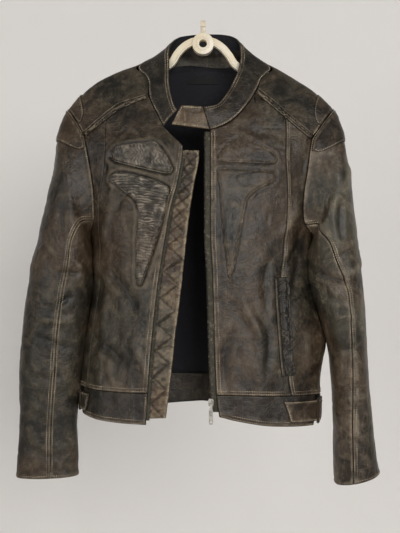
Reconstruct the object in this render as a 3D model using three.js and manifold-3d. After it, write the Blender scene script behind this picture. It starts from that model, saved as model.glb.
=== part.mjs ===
import * as THREE from 'three';
import { mergeVertices } from 'three/addons/utils/BufferGeometryUtils.js';
import Module from 'manifold-3d';

// Distressed leather rider jacket hanging open on a moulded hanger.
// Millimetres, +Z up, +X to the viewer's right, the viewer looks along +Y.
// The origin is the inner crown of the hanger's hook.
// "right" is the wearer's right, at -X, and "left" is the wearer's left, at +X.

const LEATHER = 2.0; // outer leather with its backing
const THIN = 1.0; // lining, tape and facing
const COLLAR_WALL = 3.0; // two layers of leather
const GAP = 0.3; // daylight left at each seam
const REST = 0.35; // daylight under a piece that lies on a panel
const PAD_REST = 0.6; // the same under a wide pad
const COLLAR_BELLY = 2.5;
const PAD_LIFT = 4.2; // crown of a moulded chest pad over the panel
const STRIP_LIFT = 2.6; // crests of the shoulder strip
const PATCH_LIFT = 1.3; // shoulder patches
const LINING_DEPTH = 7.5; // lining behind the outer face of the back
const HOOK_WIDTH = 9.0;
const HANGER_DISC = 20.0; // radius
const HANGER_DISC_Z = -38.0;

// Cells along each shared seam
const SIDE_ROWS = 8;
const ARM_ROWS = 9;
const CAP_ROWS = 4;
const NECK_FRONT = 6;
const YOKE_INNER = 5;
const YOKE_OUTER = 3;
const NECK_BACK = 12;
const SLEEVE_ROWS = 16;
const FRONT_SEAM_CELL = CAP_ROWS + 7;
const BACK_SEAM_CELL = CAP_ROWS + ARM_ROWS + 4;

const vec = (x, y, z) => new THREE.Vector3(x, y, z);
const mix = (a, b, t) => a + (b - a) * t;
const clamp01 = (t) => Math.min(1, Math.max(0, t));
const bump = (t) => Math.exp(-t * t);

// A smooth curve through [place, value] keys, without overshoot
function track(keys) {
  const sorted = [...keys].sort((p, q) => p[0] - q[0]);
  const steps = sorted.slice(1).map((k, i) => (k[1] - sorted[i][1]) / (k[0] - sorted[i][0]));
  const slopes = sorted.map((k, i) => {
    const before = steps[Math.max(0, i - 1)];
    const after = steps[Math.min(steps.length - 1, i)];
    return before * after <= 0 ? 0 : (2 * before * after) / (before + after);
  });
  return (place) => {
    const last = sorted.length - 1;
    if (place <= sorted[0][0]) return sorted[0][1];
    if (place >= sorted[last][0]) return sorted[last][1];
    let i = 0;
    while (place > sorted[i + 1][0]) i += 1;
    const width = sorted[i + 1][0] - sorted[i][0];
    const t = (place - sorted[i][0]) / width;
    const a = sorted[i][1];
    const b = sorted[i + 1][1];
    const inside = 3 * (b - a) - width * (2 * slopes[i] + slopes[i + 1]);
    const outside = 2 * (a - b) + width * (slopes[i] + slopes[i + 1]);
    return a + t * (width * slopes[i] + t * (inside + t * outside));
  };
}

// The body is a stack of level sections. Each half runs from its front edge round the
// side to the centre back. Distances across are measured away from the middle.
const SIDES = {
  right: {
    sign: -1,
    frontAcross: track([
      [-60, 36], [-237, 36], [-300, 44.4], [-346, 56.7], [-390, 64.4], [-485, 79.1],
      [-565, 87.5], [-644, 94.1], [-725, 98.9],
    ]),
    frontDepth: track([
      [-52, -2], [-67, -5], [-100, -18], [-144, -38], [-163, -45], [-197, -56], [-237, -72],
      [-300, -80], [-346, -85], [-485, -95], [-565, -101], [-644, -108], [-725, -115],
    ]),
    sideAcross: track([
      [-46, 86], [-58, 95], [-67, 104], [-85, 153], [-104, 194], [-123, 221], [-141, 238],
      [-160, 250], [-176, 253], [-205, 250], [-240, 243], [-280, 232], [-320, 220],
      [-355, 210], [-388, 203], [-412, 197], [-440, 195], [-480, 197], [-520, 203],
      [-570, 209], [-620, 214], [-668, 219], [-713, 222],
    ]),
    sideDepth: track([
      [-60, 2], [-160, 0], [-300, 4], [-400, 5], [-520, 4], [-668, -4], [-713, -8],
    ]),
    frontRound: track([
      [-60, 4], [-100, 13], [-144, 27], [-170, 33], [-200, 40], [-240, 50], [-300, 55],
      [-385, 60], [-450, 64], [-700, 72],
    ]),
    backRound: track([
      [-55, 18], [-100, 25], [-144, 34], [-200, 40], [-300, 45], [-700, 48],
    ]),
    bandSeam: track([[0, -671], [0.5, -670], [1, -668], [1.5, -666], [2, -664]]),
    hem: track([[0, -725], [0.5, -721], [1, -713], [1.5, -717], [2, -708]]),
    neckTop: -236,
    neckRidge: -67,
    armTop: -159,
    armBottom: -388,
  },
  left: {
    sign: 1,
    frontAcross: track([
      [-60, 12.5], [-390, 12.5], [-460, 15.8], [-558, 18.5], [-631, 20.8], [-677, 23], [-716, 28],
    ]),
    frontDepth: track([
      [-52, -2], [-67, -5], [-95, -19], [-122, -35], [-139, -42], [-164, -50], [-184, -57],
      [-207, -63], [-250, -75], [-300, -82], [-400, -88], [-500, -92], [-600, -96], [-716, -99],
    ]),
    sideAcross: track([
      [-46, 84], [-58, 97], [-72, 118], [-85, 145], [-104, 179], [-123, 208], [-141, 227],
      [-160, 242], [-176, 245], [-205, 242], [-240, 233], [-280, 222], [-320, 210],
      [-355, 201], [-390, 193], [-412, 189], [-440, 188], [-490, 194], [-540, 205],
      [-575, 217], [-600, 221], [-625, 219], [-662, 216], [-700, 217], [-740, 214],
    ]),
    sideDepth: track([
      [-60, 2], [-160, 0], [-300, 4], [-400, 5], [-520, 4], [-668, -2], [-740, -6],
    ]),
    frontRound: track([
      [-60, 4], [-100, 13], [-144, 27], [-170, 33], [-200, 38], [-240, 46], [-300, 52],
      [-385, 58], [-450, 60], [-700, 62],
    ]),
    backRound: track([
      [-55, 18], [-100, 25], [-144, 34], [-200, 40], [-300, 45], [-700, 48],
    ]),
    bandSeam: track([[0, -676], [0.6, -682], [1, -684], [1.5, -676], [2, -664]]),
    hem: track([
      [0, -714], [0.12, -723], [0.35, -733], [0.7, -737], [1, -739], [1.5, -730], [2, -708],
    ]),
    neckTop: -207,
    neckRidge: -72,
    armTop: -158,
    armBottom: -390,
  },
};
const backDepth = track([
  [-46, 55], [-100, 58], [-200, 60], [-300, 60], [-450, 58], [-600, 55], [-715, 50],
]);

// Large soft folds: [round, height, half width round, half height, lean, rise]
const FOLDS = {
  right: [
    [0.16, -600, 0.05, 110, -0.0002, 3.5],
    [0.36, -640, 0.07, 90, 0.0002, -3.0],
    [0.56, -560, 0.06, 120, 0.0004, 3.2],
    [0.3, -420, 0.08, 70, 0.0006, -2.0],
    [1.55, -420, 0.1, 150, 0.0, 2.5],
    [1.75, -560, 0.08, 120, 0.0, -2.5],
  ],
  left: [
    [0.3, -620, 0.06, 90, 0.0004, 3.2],
    [0.44, -560, 0.05, 110, 0.0006, -3.0],
    [0.6, -470, 0.05, 120, 0.0002, 3.0],
    [0.52, -640, 0.05, 60, -0.0004, 2.6],
    [1.5, -400, 0.1, 150, 0.0, 2.5],
    [1.78, -560, 0.08, 120, 0.0, -2.5],
  ],
};

function sectionPoint(side, round, z) {
  const s = SIDES[side];
  const fx = s.frontAcross(z);
  const fy = s.frontDepth(z);
  const sx = s.sideAcross(z);
  const sy = s.sideDepth(z);
  const by = backDepth(z);
  const front = [[fx, fy], [mix(fx, sx, 0.52), fy + 1.5], [sx, sy - s.frontRound(z)], [sx, sy]];
  const back = [[sx, sy], [sx, sy + s.backRound(z)], [sx * 0.55, by], [0, by]];
  const p = round <= 1 ? front : back;
  const t = round <= 1 ? round : round - 1;
  const w = [(1 - t) ** 3, 3 * t * (1 - t) ** 2, 3 * t * t * (1 - t), t ** 3];
  const across = p.reduce((sum, q, i) => sum + q[0] * w[i], 0);
  const depth = p.reduce((sum, q, i) => sum + q[1] * w[i], 0);
  return vec(s.sign * across, depth, z);
}

function outward(place, sign, u, v, du = 0.004, dv = 1.5) {
  const along = place(u + du, v).sub(place(u - du, v));
  const up = place(u, v + dv).sub(place(u, v - dv));
  return along.cross(up).multiplyScalar(sign).normalize();
}

function foldAt(side, round, z) {
  return FOLDS[side].reduce((sum, [r, h, wide, tall, lean, rise]) => {
    const off = round - r - lean * (z - h);
    return sum + rise * bump(off / wide) * bump((z - h) / tall);
  }, 0);
}

function bodyPoint(side, round, z) {
  const bare = sectionPoint(side, round, z);
  const normal = outward((u, v) => sectionPoint(side, u, v), SIDES[side].sign, round, z);
  return bare.addScaledVector(normal, foldAt(side, round, z));
}

const bodyNormal = (side, round, z) =>
  outward((u, v) => bodyPoint(side, u, v), SIDES[side].sign, round, z);

// Places on the body from the view in front: distance across and height
function place(side, across, z, back = false) {
  const sign = SIDES[side].sign;
  let low = back ? 1 : 0;
  let high = back ? 2 : 1;
  for (let i = 0; i < 30; i += 1) {
    const middle = (low + high) / 2;
    const reach = sectionPoint(side, middle, z).x * sign;
    if (reach < across !== back) low = middle;
    else high = middle;
  }
  return [(low + high) / 2, z];
}

const ROUND_MM = 200;
function seam(keys, shares) {
  const points = keys.map(([round, z]) => vec(round * ROUND_MM, 0, z));
  const curve = new THREE.CatmullRomCurve3(points, false, 'centripetal');
  curve.arcLengthDivisions = 400;
  const list = typeof shares === 'number' ? evenly(shares) : shares;
  return list.map((t) => {
    const p = curve.getPointAt(t);
    return [p.x / ROUND_MM, p.z];
  });
}

function evenly(cells) {
  return Array.from({ length: cells + 1 }, (_, i) => i / cells);
}

const joined = (...lists) =>
  lists.reduce((all, list) => [...all, ...list.slice(all.length ? 1 : 0)], []);
const reversed = (list) => [...list].reverse();

// A net of places between four edges: low and high run across, near and far run upward
function net(low, high, near, far) {
  const rows = near.length - 1;
  const cols = low.length - 1;
  return near.map((_, i) => low.map((__, j) => {
    const u = j / cols;
    const v = i / rows;
    return low[0].map((___, k) => {
      const ruled = mix(low[j][k], high[j][k], v) + mix(near[i][k], far[i][k], u);
      const corners = mix(mix(low[0][k], low[cols][k], u), mix(high[0][k], high[cols][k], u), v);
      return ruled - corners;
    });
  }));
}

// Seam lines of each half
const SEAMS = {};
function drawSeams(side) {
  const s = SIDES[side];
  const right = side === 'right';
  const neck = right
    ? [[0, s.neckTop], place(side, 51, -221), place(side, 71, -200), place(side, 86, -170),
      place(side, 99, -141)]
    : [[0, s.neckTop], place(side, 38, -198), place(side, 60, -182), place(side, 80, -158),
      place(side, 97, -130)];
  const collarStart = right ? 3 : 0;
  const neckFront = right
    ? joined(seam(neck.slice(0, 3), 3), seam(neck.slice(2), 3))
    : seam(neck, NECK_FRONT);
  const yoke = right
    ? [place(side, 99, -141), place(side, 152, -161), place(side, 176, -181)]
    : [place(side, 97, -130), place(side, 122, -150), place(side, 148, -175)];
  const yokeFrontInner = seam(yoke, YOKE_INNER);
  const yokeEnd = right ? place(side, 217, -212) : place(side, 198, -217);
  const yokeFrontOuter = seam([yoke[2], yokeEnd], YOKE_OUTER);
  const neckShoulder = right
    ? [neckFront[NECK_FRONT], place(side, 102, -105), [1, s.neckRidge]]
    : [neckFront[NECK_FRONT], place(side, 108, -104), [1, s.neckRidge]];
  const neckUp = seam(neckShoulder, CAP_ROWS);
  const neckBackSide = seam([[1, s.neckRidge], [1.18, -61], [1.36, -57]], CAP_ROWS);
  const neckBack = seam([[1.36, -57], [1.7, -53], [2, -52]], NECK_BACK / 2);
  const capFront = right
    ? [[1, s.armTop], place(side, 244, -168), place(side, 232, -186), yokeEnd]
    : [[1, s.armTop], place(side, 235, -168), place(side, 221, -186), yokeEnd];
  const armFront = right
    ? [yokeEnd, place(side, 210, -244), place(side, 204, -276), place(side, 199, -312),
      place(side, 198, -341), place(side, 199, -366), [1, s.armBottom]]
    : [yokeEnd, place(side, 193, -244), place(side, 189, -276), place(side, 183, -312),
      place(side, 181, -350), place(side, 184, -373), [1, s.armBottom]];
  const backEnd = place(side, right ? 226 : 215, -216, true);
  const armBack = right
    ? [[1, s.armBottom], place(side, 201, -362, true), place(side, 203, -328, true),
      place(side, 207, -290, true), place(side, 214, -250, true), backEnd]
    : [[1, s.armBottom], place(side, 190, -362, true), place(side, 193, -328, true),
      place(side, 198, -290, true), place(side, 205, -250, true), backEnd];
  const capBack = [backEnd, place(side, right ? 241 : 231, -185, true), [1, s.armTop]];
  const sideSeam = seam([[1, s.bandSeam(1)], [1, -520], [1, s.armBottom]], SIDE_ROWS);
  const armUp = reversed(seam(armFront, ARM_ROWS));
  const outerEdge = joined(sideSeam, armUp);
  const rise = outerEdge[outerEdge.length - 1][1] - outerEdge[0][1];
  const shares = outerEdge.map((p) => (p[1] - outerEdge[0][1]) / rise);
  const princess = right
    ? [place(side, 207, -670), place(side, 200, -600), place(side, 193, -530),
      place(side, 189, -385), place(side, 180, -280), place(side, 177, -240), yoke[2]]
    : [place(side, 157, -682), place(side, 151, -647), place(side, 144, -565),
      place(side, 139, -475), place(side, 143, -439), place(side, 147, -386),
      place(side, 152, -337), place(side, 148.5, -255), yoke[2]];
  SEAMS[side] = {
    collarStart,
    neckFront,
    yokeFrontInner,
    yokeFrontOuter,
    neckUp,
    neckBackSide,
    neckBack,
    capFront: seam(capFront, CAP_ROWS),
    armFront: seam(armFront, ARM_ROWS),
    armBack: seam(armBack, ARM_ROWS),
    capBack: seam(capBack, CAP_ROWS),
    yokeBack: seam(
      [[1.36, -57], place(side, 150, -140, true), backEnd],
      YOKE_INNER + YOKE_OUTER,
    ),
    ridge: seam([[1, s.neckRidge], [1, s.armTop]], YOKE_INNER + YOKE_OUTER),
    outerEdge,
    shares,
    princess: seam(princess, shares),
    frontEdge: seam([[0, s.bandSeam(0)], [0, s.neckTop]], shares),
  };
}
drawSeams('right');
drawSeams('left');

// Sleeves: rings from the armhole to the cuff.
// [outer across, outer height, inner across, inner height, middle depth, half depth, front seam angle]
const SLEEVE_RINGS = {
  right: [
    [266, -200, 207, -402, 2, 56, 131],
    [276, -265, 203, -432, -2, 58, 111],
    [290, -330, 203, -456, -6, 57, 102],
    [304, -395, 204, -482, -10, 55, 103],
    [321, -475, 210, -522, -14, 50, 103],
    [332, -560, 216, -582, -18, 44, 102],
    [337, -645, 223, -652, -20, 38, 103],
    [337.5, -740, 231, -742, -20, 32, 101],
    [342, -837, 229, -833, -20, 27, 100],
  ],
  left: [
    [258, -200, 202, -402, 2, 54, 136],
    [269, -262, 192, -430, -2, 58, 120],
    [278, -330, 193, -456, -6, 58, 103],
    [286, -400, 197, -482, -10, 56, 93],
    [293, -480, 211, -524, -14, 54, 80],
    [300, -560, 228, -578, -16, 52, 89],
    [304, -642, 236, -646, -16, 48, 94],
    [311, -737, 239, -739, -18, 44, 102],
    [324, -831, 242, -849, -18, 42, 109],
  ],
};
const SLEEVE_FOLDS = {
  right: [
    [0.1, 0.52, 0.09, 0.028, 2.5],
    [0.3, 0.5, 0.1, 0.025, -2.4],
    [0.36, 0.4, 0.07, 0.03, 2.2],
    [0.2, 0.7, 0.12, 0.035, -2.0],
    [0.95, 0.45, 0.08, 0.04, 2.2],
  ],
  left: [
    [0.3, 0.5, 0.08, 0.024, 2.8],
    [0.34, 0.44, 0.07, 0.02, -2.6],
    [0.4, 0.38, 0.07, 0.022, 2.4],
    [0.16, 0.62, 0.12, 0.035, -2.2],
    [0.9, 0.5, 0.08, 0.04, 2.2],
  ],
};
const BACK_SEAM_ANGLE = 250;
const CELLS_ROUND = 2 * (CAP_ROWS + ARM_ROWS);

function armholeLine(side) {
  const s = SEAMS[side];
  return joined(s.capFront, s.armFront, s.armBack, s.capBack);
}

function armholePoint(side, cell) {
  const line = armholeLine(side);
  const turn = ((cell % CELLS_ROUND) + CELLS_ROUND) % CELLS_ROUND;
  const i = Math.floor(turn);
  const [a, b] = [line[i], line[i + 1]].map(([round, z]) => bodyPoint(side, round, z));
  return a.lerp(b, turn - i);
}

function ringPoint(side, ring, cell) {
  const [ox, oz, ix, iz, y, halfDepth, seamAngle] = ring;
  const turn = ((cell % CELLS_ROUND) + CELLS_ROUND) % CELLS_ROUND;
  let angle;
  if (turn < FRONT_SEAM_CELL) angle = (seamAngle * turn) / FRONT_SEAM_CELL;
  else if (turn < BACK_SEAM_CELL) {
    const share = (turn - FRONT_SEAM_CELL) / (BACK_SEAM_CELL - FRONT_SEAM_CELL);
    angle = mix(seamAngle, BACK_SEAM_ANGLE, share);
  } else {
    const share = (turn - BACK_SEAM_CELL) / (CELLS_ROUND - BACK_SEAM_CELL);
    angle = mix(BACK_SEAM_ANGLE, 360, share);
  }
  const t = THREE.MathUtils.degToRad(angle);
  const across = mix(ix, ox, 0.5 + 0.5 * Math.cos(t));
  const z = mix(iz, oz, 0.5 + 0.5 * Math.cos(t));
  return vec(SIDES[side].sign * across, y - halfDepth * Math.sin(t), z);
}

function sleeveBare(side, cell, down) {
  const rings = SLEEVE_RINGS[side];
  const points = [armholePoint(side, cell), ...rings.map((ring) => ringPoint(side, ring, cell))];
  const last = points.length - 1;
  const at = Math.min(Math.max(down * last, -0.5), last + 0.5);
  const i = Math.min(last - 1, Math.max(0, Math.floor(at)));
  const t = at - i;
  const p0 = points[Math.max(0, i - 1)];
  const p3 = points[Math.min(last, i + 2)];
  const m1 = points[i + 1].clone().sub(p0).multiplyScalar(i ? 0.5 : 1);
  const m2 = p3.clone().sub(points[i]).multiplyScalar(i + 2 <= last ? 0.5 : 1);
  return vec(0, 0, 0)
    .addScaledVector(points[i], 2 * t ** 3 - 3 * t * t + 1)
    .addScaledVector(m1, t ** 3 - 2 * t * t + t)
    .addScaledVector(points[i + 1], 3 * t * t - 2 * t ** 3)
    .addScaledVector(m2, t ** 3 - t * t);
}

const sleeveNormalBare = (side, cell, down) =>
  outward((u, v) => sleeveBare(side, u, v), SIDES[side].sign, cell, down, 0.05, 0.004);

function sleevePoint(side, cell, down) {
  const bare = sleeveBare(side, cell, down);
  const turn = (((cell / CELLS_ROUND) % 1) + 1) % 1;
  const fold = SLEEVE_FOLDS[side].reduce((sum, [c, v, wide, tall, rise]) => {
    const off = Math.min(Math.abs(turn - c), 1 - Math.abs(turn - c));
    return sum + rise * bump(off / wide) * bump((down - v) / tall);
  }, 0);
  return bare.addScaledVector(sleeveNormalBare(side, cell, down), fold);
}

const sleeveNormal = (side, cell, down) =>
  outward((u, v) => sleevePoint(side, u, v), SIDES[side].sign, cell, down, 0.05, 0.004);

// At the armhole both walls end on one shared mitre
const MITRES = new Map();
const mitreKey = (side, [round, z]) => `${side} ${round.toFixed(5)} ${z.toFixed(3)}`;
['right', 'left'].forEach((side) => {
  const line = armholeLine(side);
  line.slice(0, CELLS_ROUND).forEach((p, cell) => {
    const ofSleeve = sleeveNormal(side, cell, 0.02);
    const ofBody = bodyNormal(side, p[0], p[1]);
    const mitre = ofSleeve.clone().add(ofBody).normalize();
    mitre.divideScalar(Math.max(0.7, mitre.dot(ofSleeve)));
    const apart = clamp01((0.3 - ofSleeve.dot(ofBody)) / 0.6);
    MITRES.set(mitreKey(side, p), mitre.clone().lerp(ofBody, apart));
    MITRES.set(`${side} cell ${cell}`, mitre.clone().lerp(ofSleeve, apart));
  });
});

function wallDirection(side, p) {
  return MITRES.get(mitreKey(side, p)) ?? bodyNormal(side, p[0], p[1]);
}

// Joins and cuts
const wasm = await Module();
wasm.setup();
function toManifold(geometry) {
  const bare = geometry.clone();
  Object.keys(bare.attributes)
    .filter((key) => key !== 'position')
    .forEach((key) => bare.deleteAttribute(key));
  const merged = mergeVertices(bare, 1e-4);
  return new wasm.Manifold(new wasm.Mesh({
    numProp: 3,
    vertProperties: new Float32Array(merged.attributes.position.array),
    triVerts: new Uint32Array(merged.index.array),
  }));
}
function fromManifold(manifold) {
  const mesh = manifold.getMesh();
  const geometry = new THREE.BufferGeometry();
  const places = Array.from(mesh.vertProperties);
  geometry.setAttribute('position', new THREE.Float32BufferAttribute(places, 3));
  geometry.setIndex(Array.from(mesh.triVerts));
  geometry.computeVertexNormals();
  return geometry;
}

// Solids
const jacket = new THREE.Group();
jacket.name = 'worn_leather_jacket';
const PAINTS = {
  leather: ['#3b342b', 0.62, 0],
  pad: ['#4a443a', 0.6, 0],
  tan: ['#6b5a45', 0.62, 0],
  edge: ['#57493a', 0.65, 0],
  lining: ['#14151c', 0.85, 0],
  label: ['#0d0d10', 0.7, 0],
  tape: ['#2b2924', 0.85, 0],
  metal: ['#a9a9a6', 0.3, 1],
  hanger: ['#d9d2b8', 0.45, 0],
};

function add(name, geometry, paint) {
  const [color, roughness, metalness] = PAINTS[paint];
  const material = new THREE.MeshStandardMaterial({ color, roughness, metalness });
  material.name = paint;
  const mesh = new THREE.Mesh(geometry, material);
  mesh.name = name;
  jacket.add(mesh);
  return mesh;
}

function solid(points, faces) {
  const volume = faces.reduce((sum, [a, b, c]) => {
    const cross = points[b].clone().cross(points[c]);
    return sum + points[a].dot(cross);
  }, 0);
  const ordered = volume < 0 ? faces.map(([a, b, c]) => [a, c, b]) : faces;
  const geometry = new THREE.BufferGeometry();
  const flat = points.flatMap((p) => [p.x, p.y, p.z]);
  geometry.setAttribute('position', new THREE.Float32BufferAttribute(flat, 3));
  geometry.setIndex(ordered.flat());
  geometry.computeVertexNormals();
  return geometry;
}

// A closed wall between an outer and an inner net of points
function wall(outer, inner) {
  const rows = outer.length;
  const cols = outer[0].length;
  const points = [...outer.flat(), ...inner.flat()];
  const at = (i, j, layer = 0) => layer * rows * cols + i * cols + j;
  const faces = [];
  for (let i = 0; i + 1 < rows; i += 1) {
    for (let j = 0; j + 1 < cols; j += 1) {
      const [a, b, c, d] = [at(i, j), at(i, j + 1), at(i + 1, j + 1), at(i + 1, j)];
      faces.push([a, b, c], [a, c, d]);
      const [e, f, g, h] = [a, b, c, d].map((k) => k + rows * cols);
      faces.push([e, g, f], [e, h, g]);
    }
  }
  const rim = [
    ...outer[0].map((_, j) => [0, j]),
    ...outer.slice(1).map((_, i) => [i + 1, cols - 1]),
    ...outer[0].slice(1).map((_, j) => [rows - 1, cols - 2 - j]),
    ...outer.slice(2).map((_, i) => [rows - 2 - i, 0]),
  ];
  rim.forEach(([i, j], k) => {
    const [p, q] = rim[(k + 1) % rim.length];
    faces.push([at(i, j), at(i, j, 1), at(p, q, 1)], [at(i, j), at(p, q, 1), at(p, q)]);
  });
  return solid(points, faces);
}

// Draws the edges of a net inward, so that neighbours don't touch
function drawnIn(grid, by = GAP / 2) {
  const rows = grid.length - 1;
  const cols = grid[0].length - 1;
  const copy = grid.map((row) => row.map((p) => p.clone()));
  const pull = (i, j, next, before, after) => {
    const edge = after.clone().sub(before).normalize();
    const step = next.clone().sub(grid[i][j]);
    step.addScaledVector(edge, -step.dot(edge)).normalize();
    copy[i][j].addScaledVector(step, by);
  };
  for (let j = 0; j <= cols; j += 1) {
    const [a, b] = [Math.max(0, j - 1), Math.min(cols, j + 1)];
    pull(0, j, grid[1][j], grid[0][a], grid[0][b]);
    pull(rows, j, grid[rows - 1][j], grid[rows][a], grid[rows][b]);
  }
  for (let i = 0; i <= rows; i += 1) {
    const [a, b] = [Math.max(0, i - 1), Math.min(rows, i + 1)];
    pull(i, 0, grid[i][1], grid[a][0], grid[b][0]);
    pull(i, cols, grid[i][cols - 1], grid[a][cols], grid[b][cols]);
  }
  return copy;
}

const NETS = {};
const movedOut = (grid, directions, by) =>
  grid.map((row, i) => row.map((p, j) => p.clone().addScaledVector(directions[i][j], by)));

function sheet(name, outer, directions, thickness, paint, lift = 0, by = GAP / 2) {
  const top = movedOut(outer, directions, lift);
  const under = movedOut(top, directions, -thickness);
  const drawn = drawnIn(top, by);
  NETS[name] = { points: drawn, directions };
  return add(name, wall(drawn, drawnIn(under, by)), paint);
}

// A sheet on the body: on one side by [round, height], or round both by [reach, height]
function bodySheet(name, side, cells, thickness = LEATHER, lift = 0, paint = 'leather', by = GAP / 2) {
  const sideOf = (p) => {
    if (side !== 'both') return side;
    return p[0] < 0 ? 'right' : 'left';
  };
  const roundOf = (p) => (side === 'both' ? 2 - Math.abs(p[0]) : p[0]);
  const over = (get) => cells.map((row) => row.map((p) => get(sideOf(p), roundOf(p), p[1])));
  const outer = over(bodyPoint);
  const directions = over((half, round, z) => wallDirection(half, [round, z]));
  return sheet(name, outer, directions, thickness, paint, lift, by);
}

// Fronts, side panels and yokes
['right', 'left'].forEach((side) => {
  const s = SEAMS[side];
  const body = SIDES[side];
  const frontCols = NECK_FRONT + YOKE_INNER;
  const seamRow = (from, to, cells) =>
    evenly(cells).map((t) => [mix(from, to, t), body.bandSeam(mix(from, to, t))]);
  const princessFoot = s.princess[0];
  princessFoot[1] = body.bandSeam(princessFoot[0]);
  const frontFoot = seamRow(0, princessFoot[0], frontCols);
  const frontTop = joined(s.neckFront, s.yokeFrontInner);
  bodySheet(`${side}_front`, side, net(frontFoot, frontTop, s.frontEdge, s.princess));
  const sideTop = seam([s.yokeFrontOuter[0], s.yokeFrontOuter[YOKE_OUTER]], YOKE_OUTER);
  const sideLow = seamRow(princessFoot[0], 1, YOKE_OUTER);
  bodySheet(`${side}_side_panel`, side, net(sideLow, sideTop, s.princess, s.outerEdge));

  const to3 = (list) => list.map((p) => bodyPoint(side, p[0], p[1]).toArray());
  const yokeFront = joined(s.yokeFrontInner, s.yokeFrontOuter);
  const frontHalf = net(to3(yokeFront), to3(s.ridge), to3(s.neckUp), to3(reversed(s.capFront)));
  const backHalf = net(
    to3(s.ridge), to3(s.yokeBack), to3(s.neckBackSide), to3(reversed(s.capBack)),
  );
  const outer = joined(frontHalf, backHalf).map((row) => row.map((p) => vec(...p)));
  const edges = {
    low: yokeFront,
    high: s.yokeBack,
    near: joined(s.neckUp, s.neckBackSide),
    far: joined(reversed(s.capFront), reversed(s.capBack)),
  };
  const rows = outer.length - 1;
  const cols = outer[0].length - 1;
  const directions = outer.map((row, i) => row.map((_, j) => {
    if (j === cols) return wallDirection(side, edges.far[i]);
    if (j === 0) return wallDirection(side, edges.near[i]);
    if (i === 0) return wallDirection(side, edges.low[j]);
    if (i === rows) return wallDirection(side, edges.high[j]);
    const along = outer[i][j + 1].clone().sub(outer[i][j - 1]);
    const up = outer[i + 1][j].clone().sub(outer[i - 1][j]);
    return along.cross(up).multiplyScalar(body.sign).normalize();
  }));
  sheet(`${side}_yoke`, outer, directions, LEATHER, 'leather');
});

// The back runs round both sides. Its reach is 2 - round, with the sign of the side.
const wrap = (side, list) =>
  list.map(([round, z]) => [SIDES[side].sign * Math.max(1e-9, 2 - round), z]);
{
  const [r, l] = [SEAMS.right, SEAMS.left];
  const high = joined(wrap('right', r.neckBack), reversed(wrap('left', l.neckBack)));
  const cols = high.length - 1;
  const low = evenly(cols).map((t) => {
    const u = mix(-1, 1, t);
    return [u || 1e-9, SIDES[u < 0 ? 'right' : 'left'].bandSeam(2 - Math.abs(u))];
  });
  const edgeOf = (side) => {
    const s = SEAMS[side];
    const lower = s.outerEdge.slice(0, SIDE_ROWS + 1);
    return wrap(side, joined(lower, s.armBack, reversed(s.yokeBack)));
  };
  const cells = net(low, high, edgeOf('right'), edgeOf('left'));
  bodySheet('back_panel', 'both', cells, LEATHER, 0, 'leather', GAP);
}

// Waistband: two fronts and a back, with an open notch at each side under the adjuster
const NOTCH = { right: [0.8, 0.93], left: [0.76, 0.9] };
['right', 'left'].forEach((side) => {
  const body = SIDES[side];
  const cells = evenly(3).map((v) => evenly(10).map((t) => {
    const round = mix(0, NOTCH[side][0], t);
    return [round, mix(body.hem(round), body.bandSeam(round), v)];
  }));
  bodySheet(`${side}_hem_band`, side, cells, LEATHER + 0.6, 0.3);
});
{
  const reach = [-(2 - NOTCH.right[1]), 2 - NOTCH.left[1]];
  const cells = evenly(3).map((v) => evenly(22).map((t) => {
    const u = mix(reach[0], reach[1], t) || 1e-9;
    const body = SIDES[u < 0 ? 'right' : 'left'];
    const round = 2 - Math.abs(u);
    return [u, mix(body.hem(round), body.bandSeam(round), v)];
  }));
  bodySheet('back_hem_band', 'both', cells, LEATHER + 0.6, 0.3);
  const facing = evenly(2).map((v) => evenly(12).map((t) => {
    const u = mix(-0.72, 0.72, t) || 1e-9;
    const body = SIDES[u < 0 ? 'right' : 'left'];
    const round = 2 - Math.abs(u);
    return [u, mix(body.hem(round) + 4, -655, v)];
  }));
  bodySheet('back_hem_facing', 'both', facing, THIN, -3.4);
  const lining = evenly(9).map((v) => evenly(14).map((t) => {
    const reach = mix(0.86, 0.6, v ** 3);
    const u = mix(-reach, reach, t) || 1e-9;
    return [u, mix(-650, -76 - 40 * u * u, v)];
  }));
  bodySheet('back_lining', 'both', lining, THIN, -LINING_DEPTH, 'lining');
  const neckFacing = evenly(2).map((v) => evenly(16).map((t) => {
    const u = mix(-0.7, 0.7, t) || 1e-9;
    const top = -57 - 12 * u * u;
    return [u, mix(top - 13 - 2.5 * Math.sin(9 * u), top, v)];
  }));
  bodySheet('neck_facing', 'both', neckFacing, THIN, -3.4);
  const label = evenly(2).map((v) => evenly(4).map((t) => {
    const u = mix(-0.1, 0.11, t) || 1e-9;
    return [u, mix(-102, -86, v)];
  }));
  bodySheet('neck_label', 'both', label, 0.6, -LINING_DEPTH - THIN - 1.2, 'label');
}

// Sleeves in an upper and an under half
['right', 'left'].forEach((side) => {
  const halves = {
    upper: evenly(CELLS_ROUND - BACK_SEAM_CELL + FRONT_SEAM_CELL)
      .map((_, i) => BACK_SEAM_CELL - CELLS_ROUND + i),
    under: evenly(BACK_SEAM_CELL - FRONT_SEAM_CELL).map((_, i) => FRONT_SEAM_CELL + i),
  };
  Object.entries(halves).forEach(([half, cells]) => {
    const downs = evenly(SLEEVE_ROWS).map((t) => (1 - t) ** 1.25);
    const outer = downs.map((v) => cells.map((c) => sleevePoint(side, c, v)));
    const directions = downs.map((v) => cells.map((c) => {
      const turn = ((c % CELLS_ROUND) + CELLS_ROUND) % CELLS_ROUND;
      return v < 1e-6 ? MITRES.get(`${side} cell ${turn}`) : sleeveNormal(side, c, v);
    }));
    sheet(`${side}_sleeve_${half}`, outer, directions, LEATHER, 'leather', 0, 0.8 * GAP);
  });
});

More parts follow.
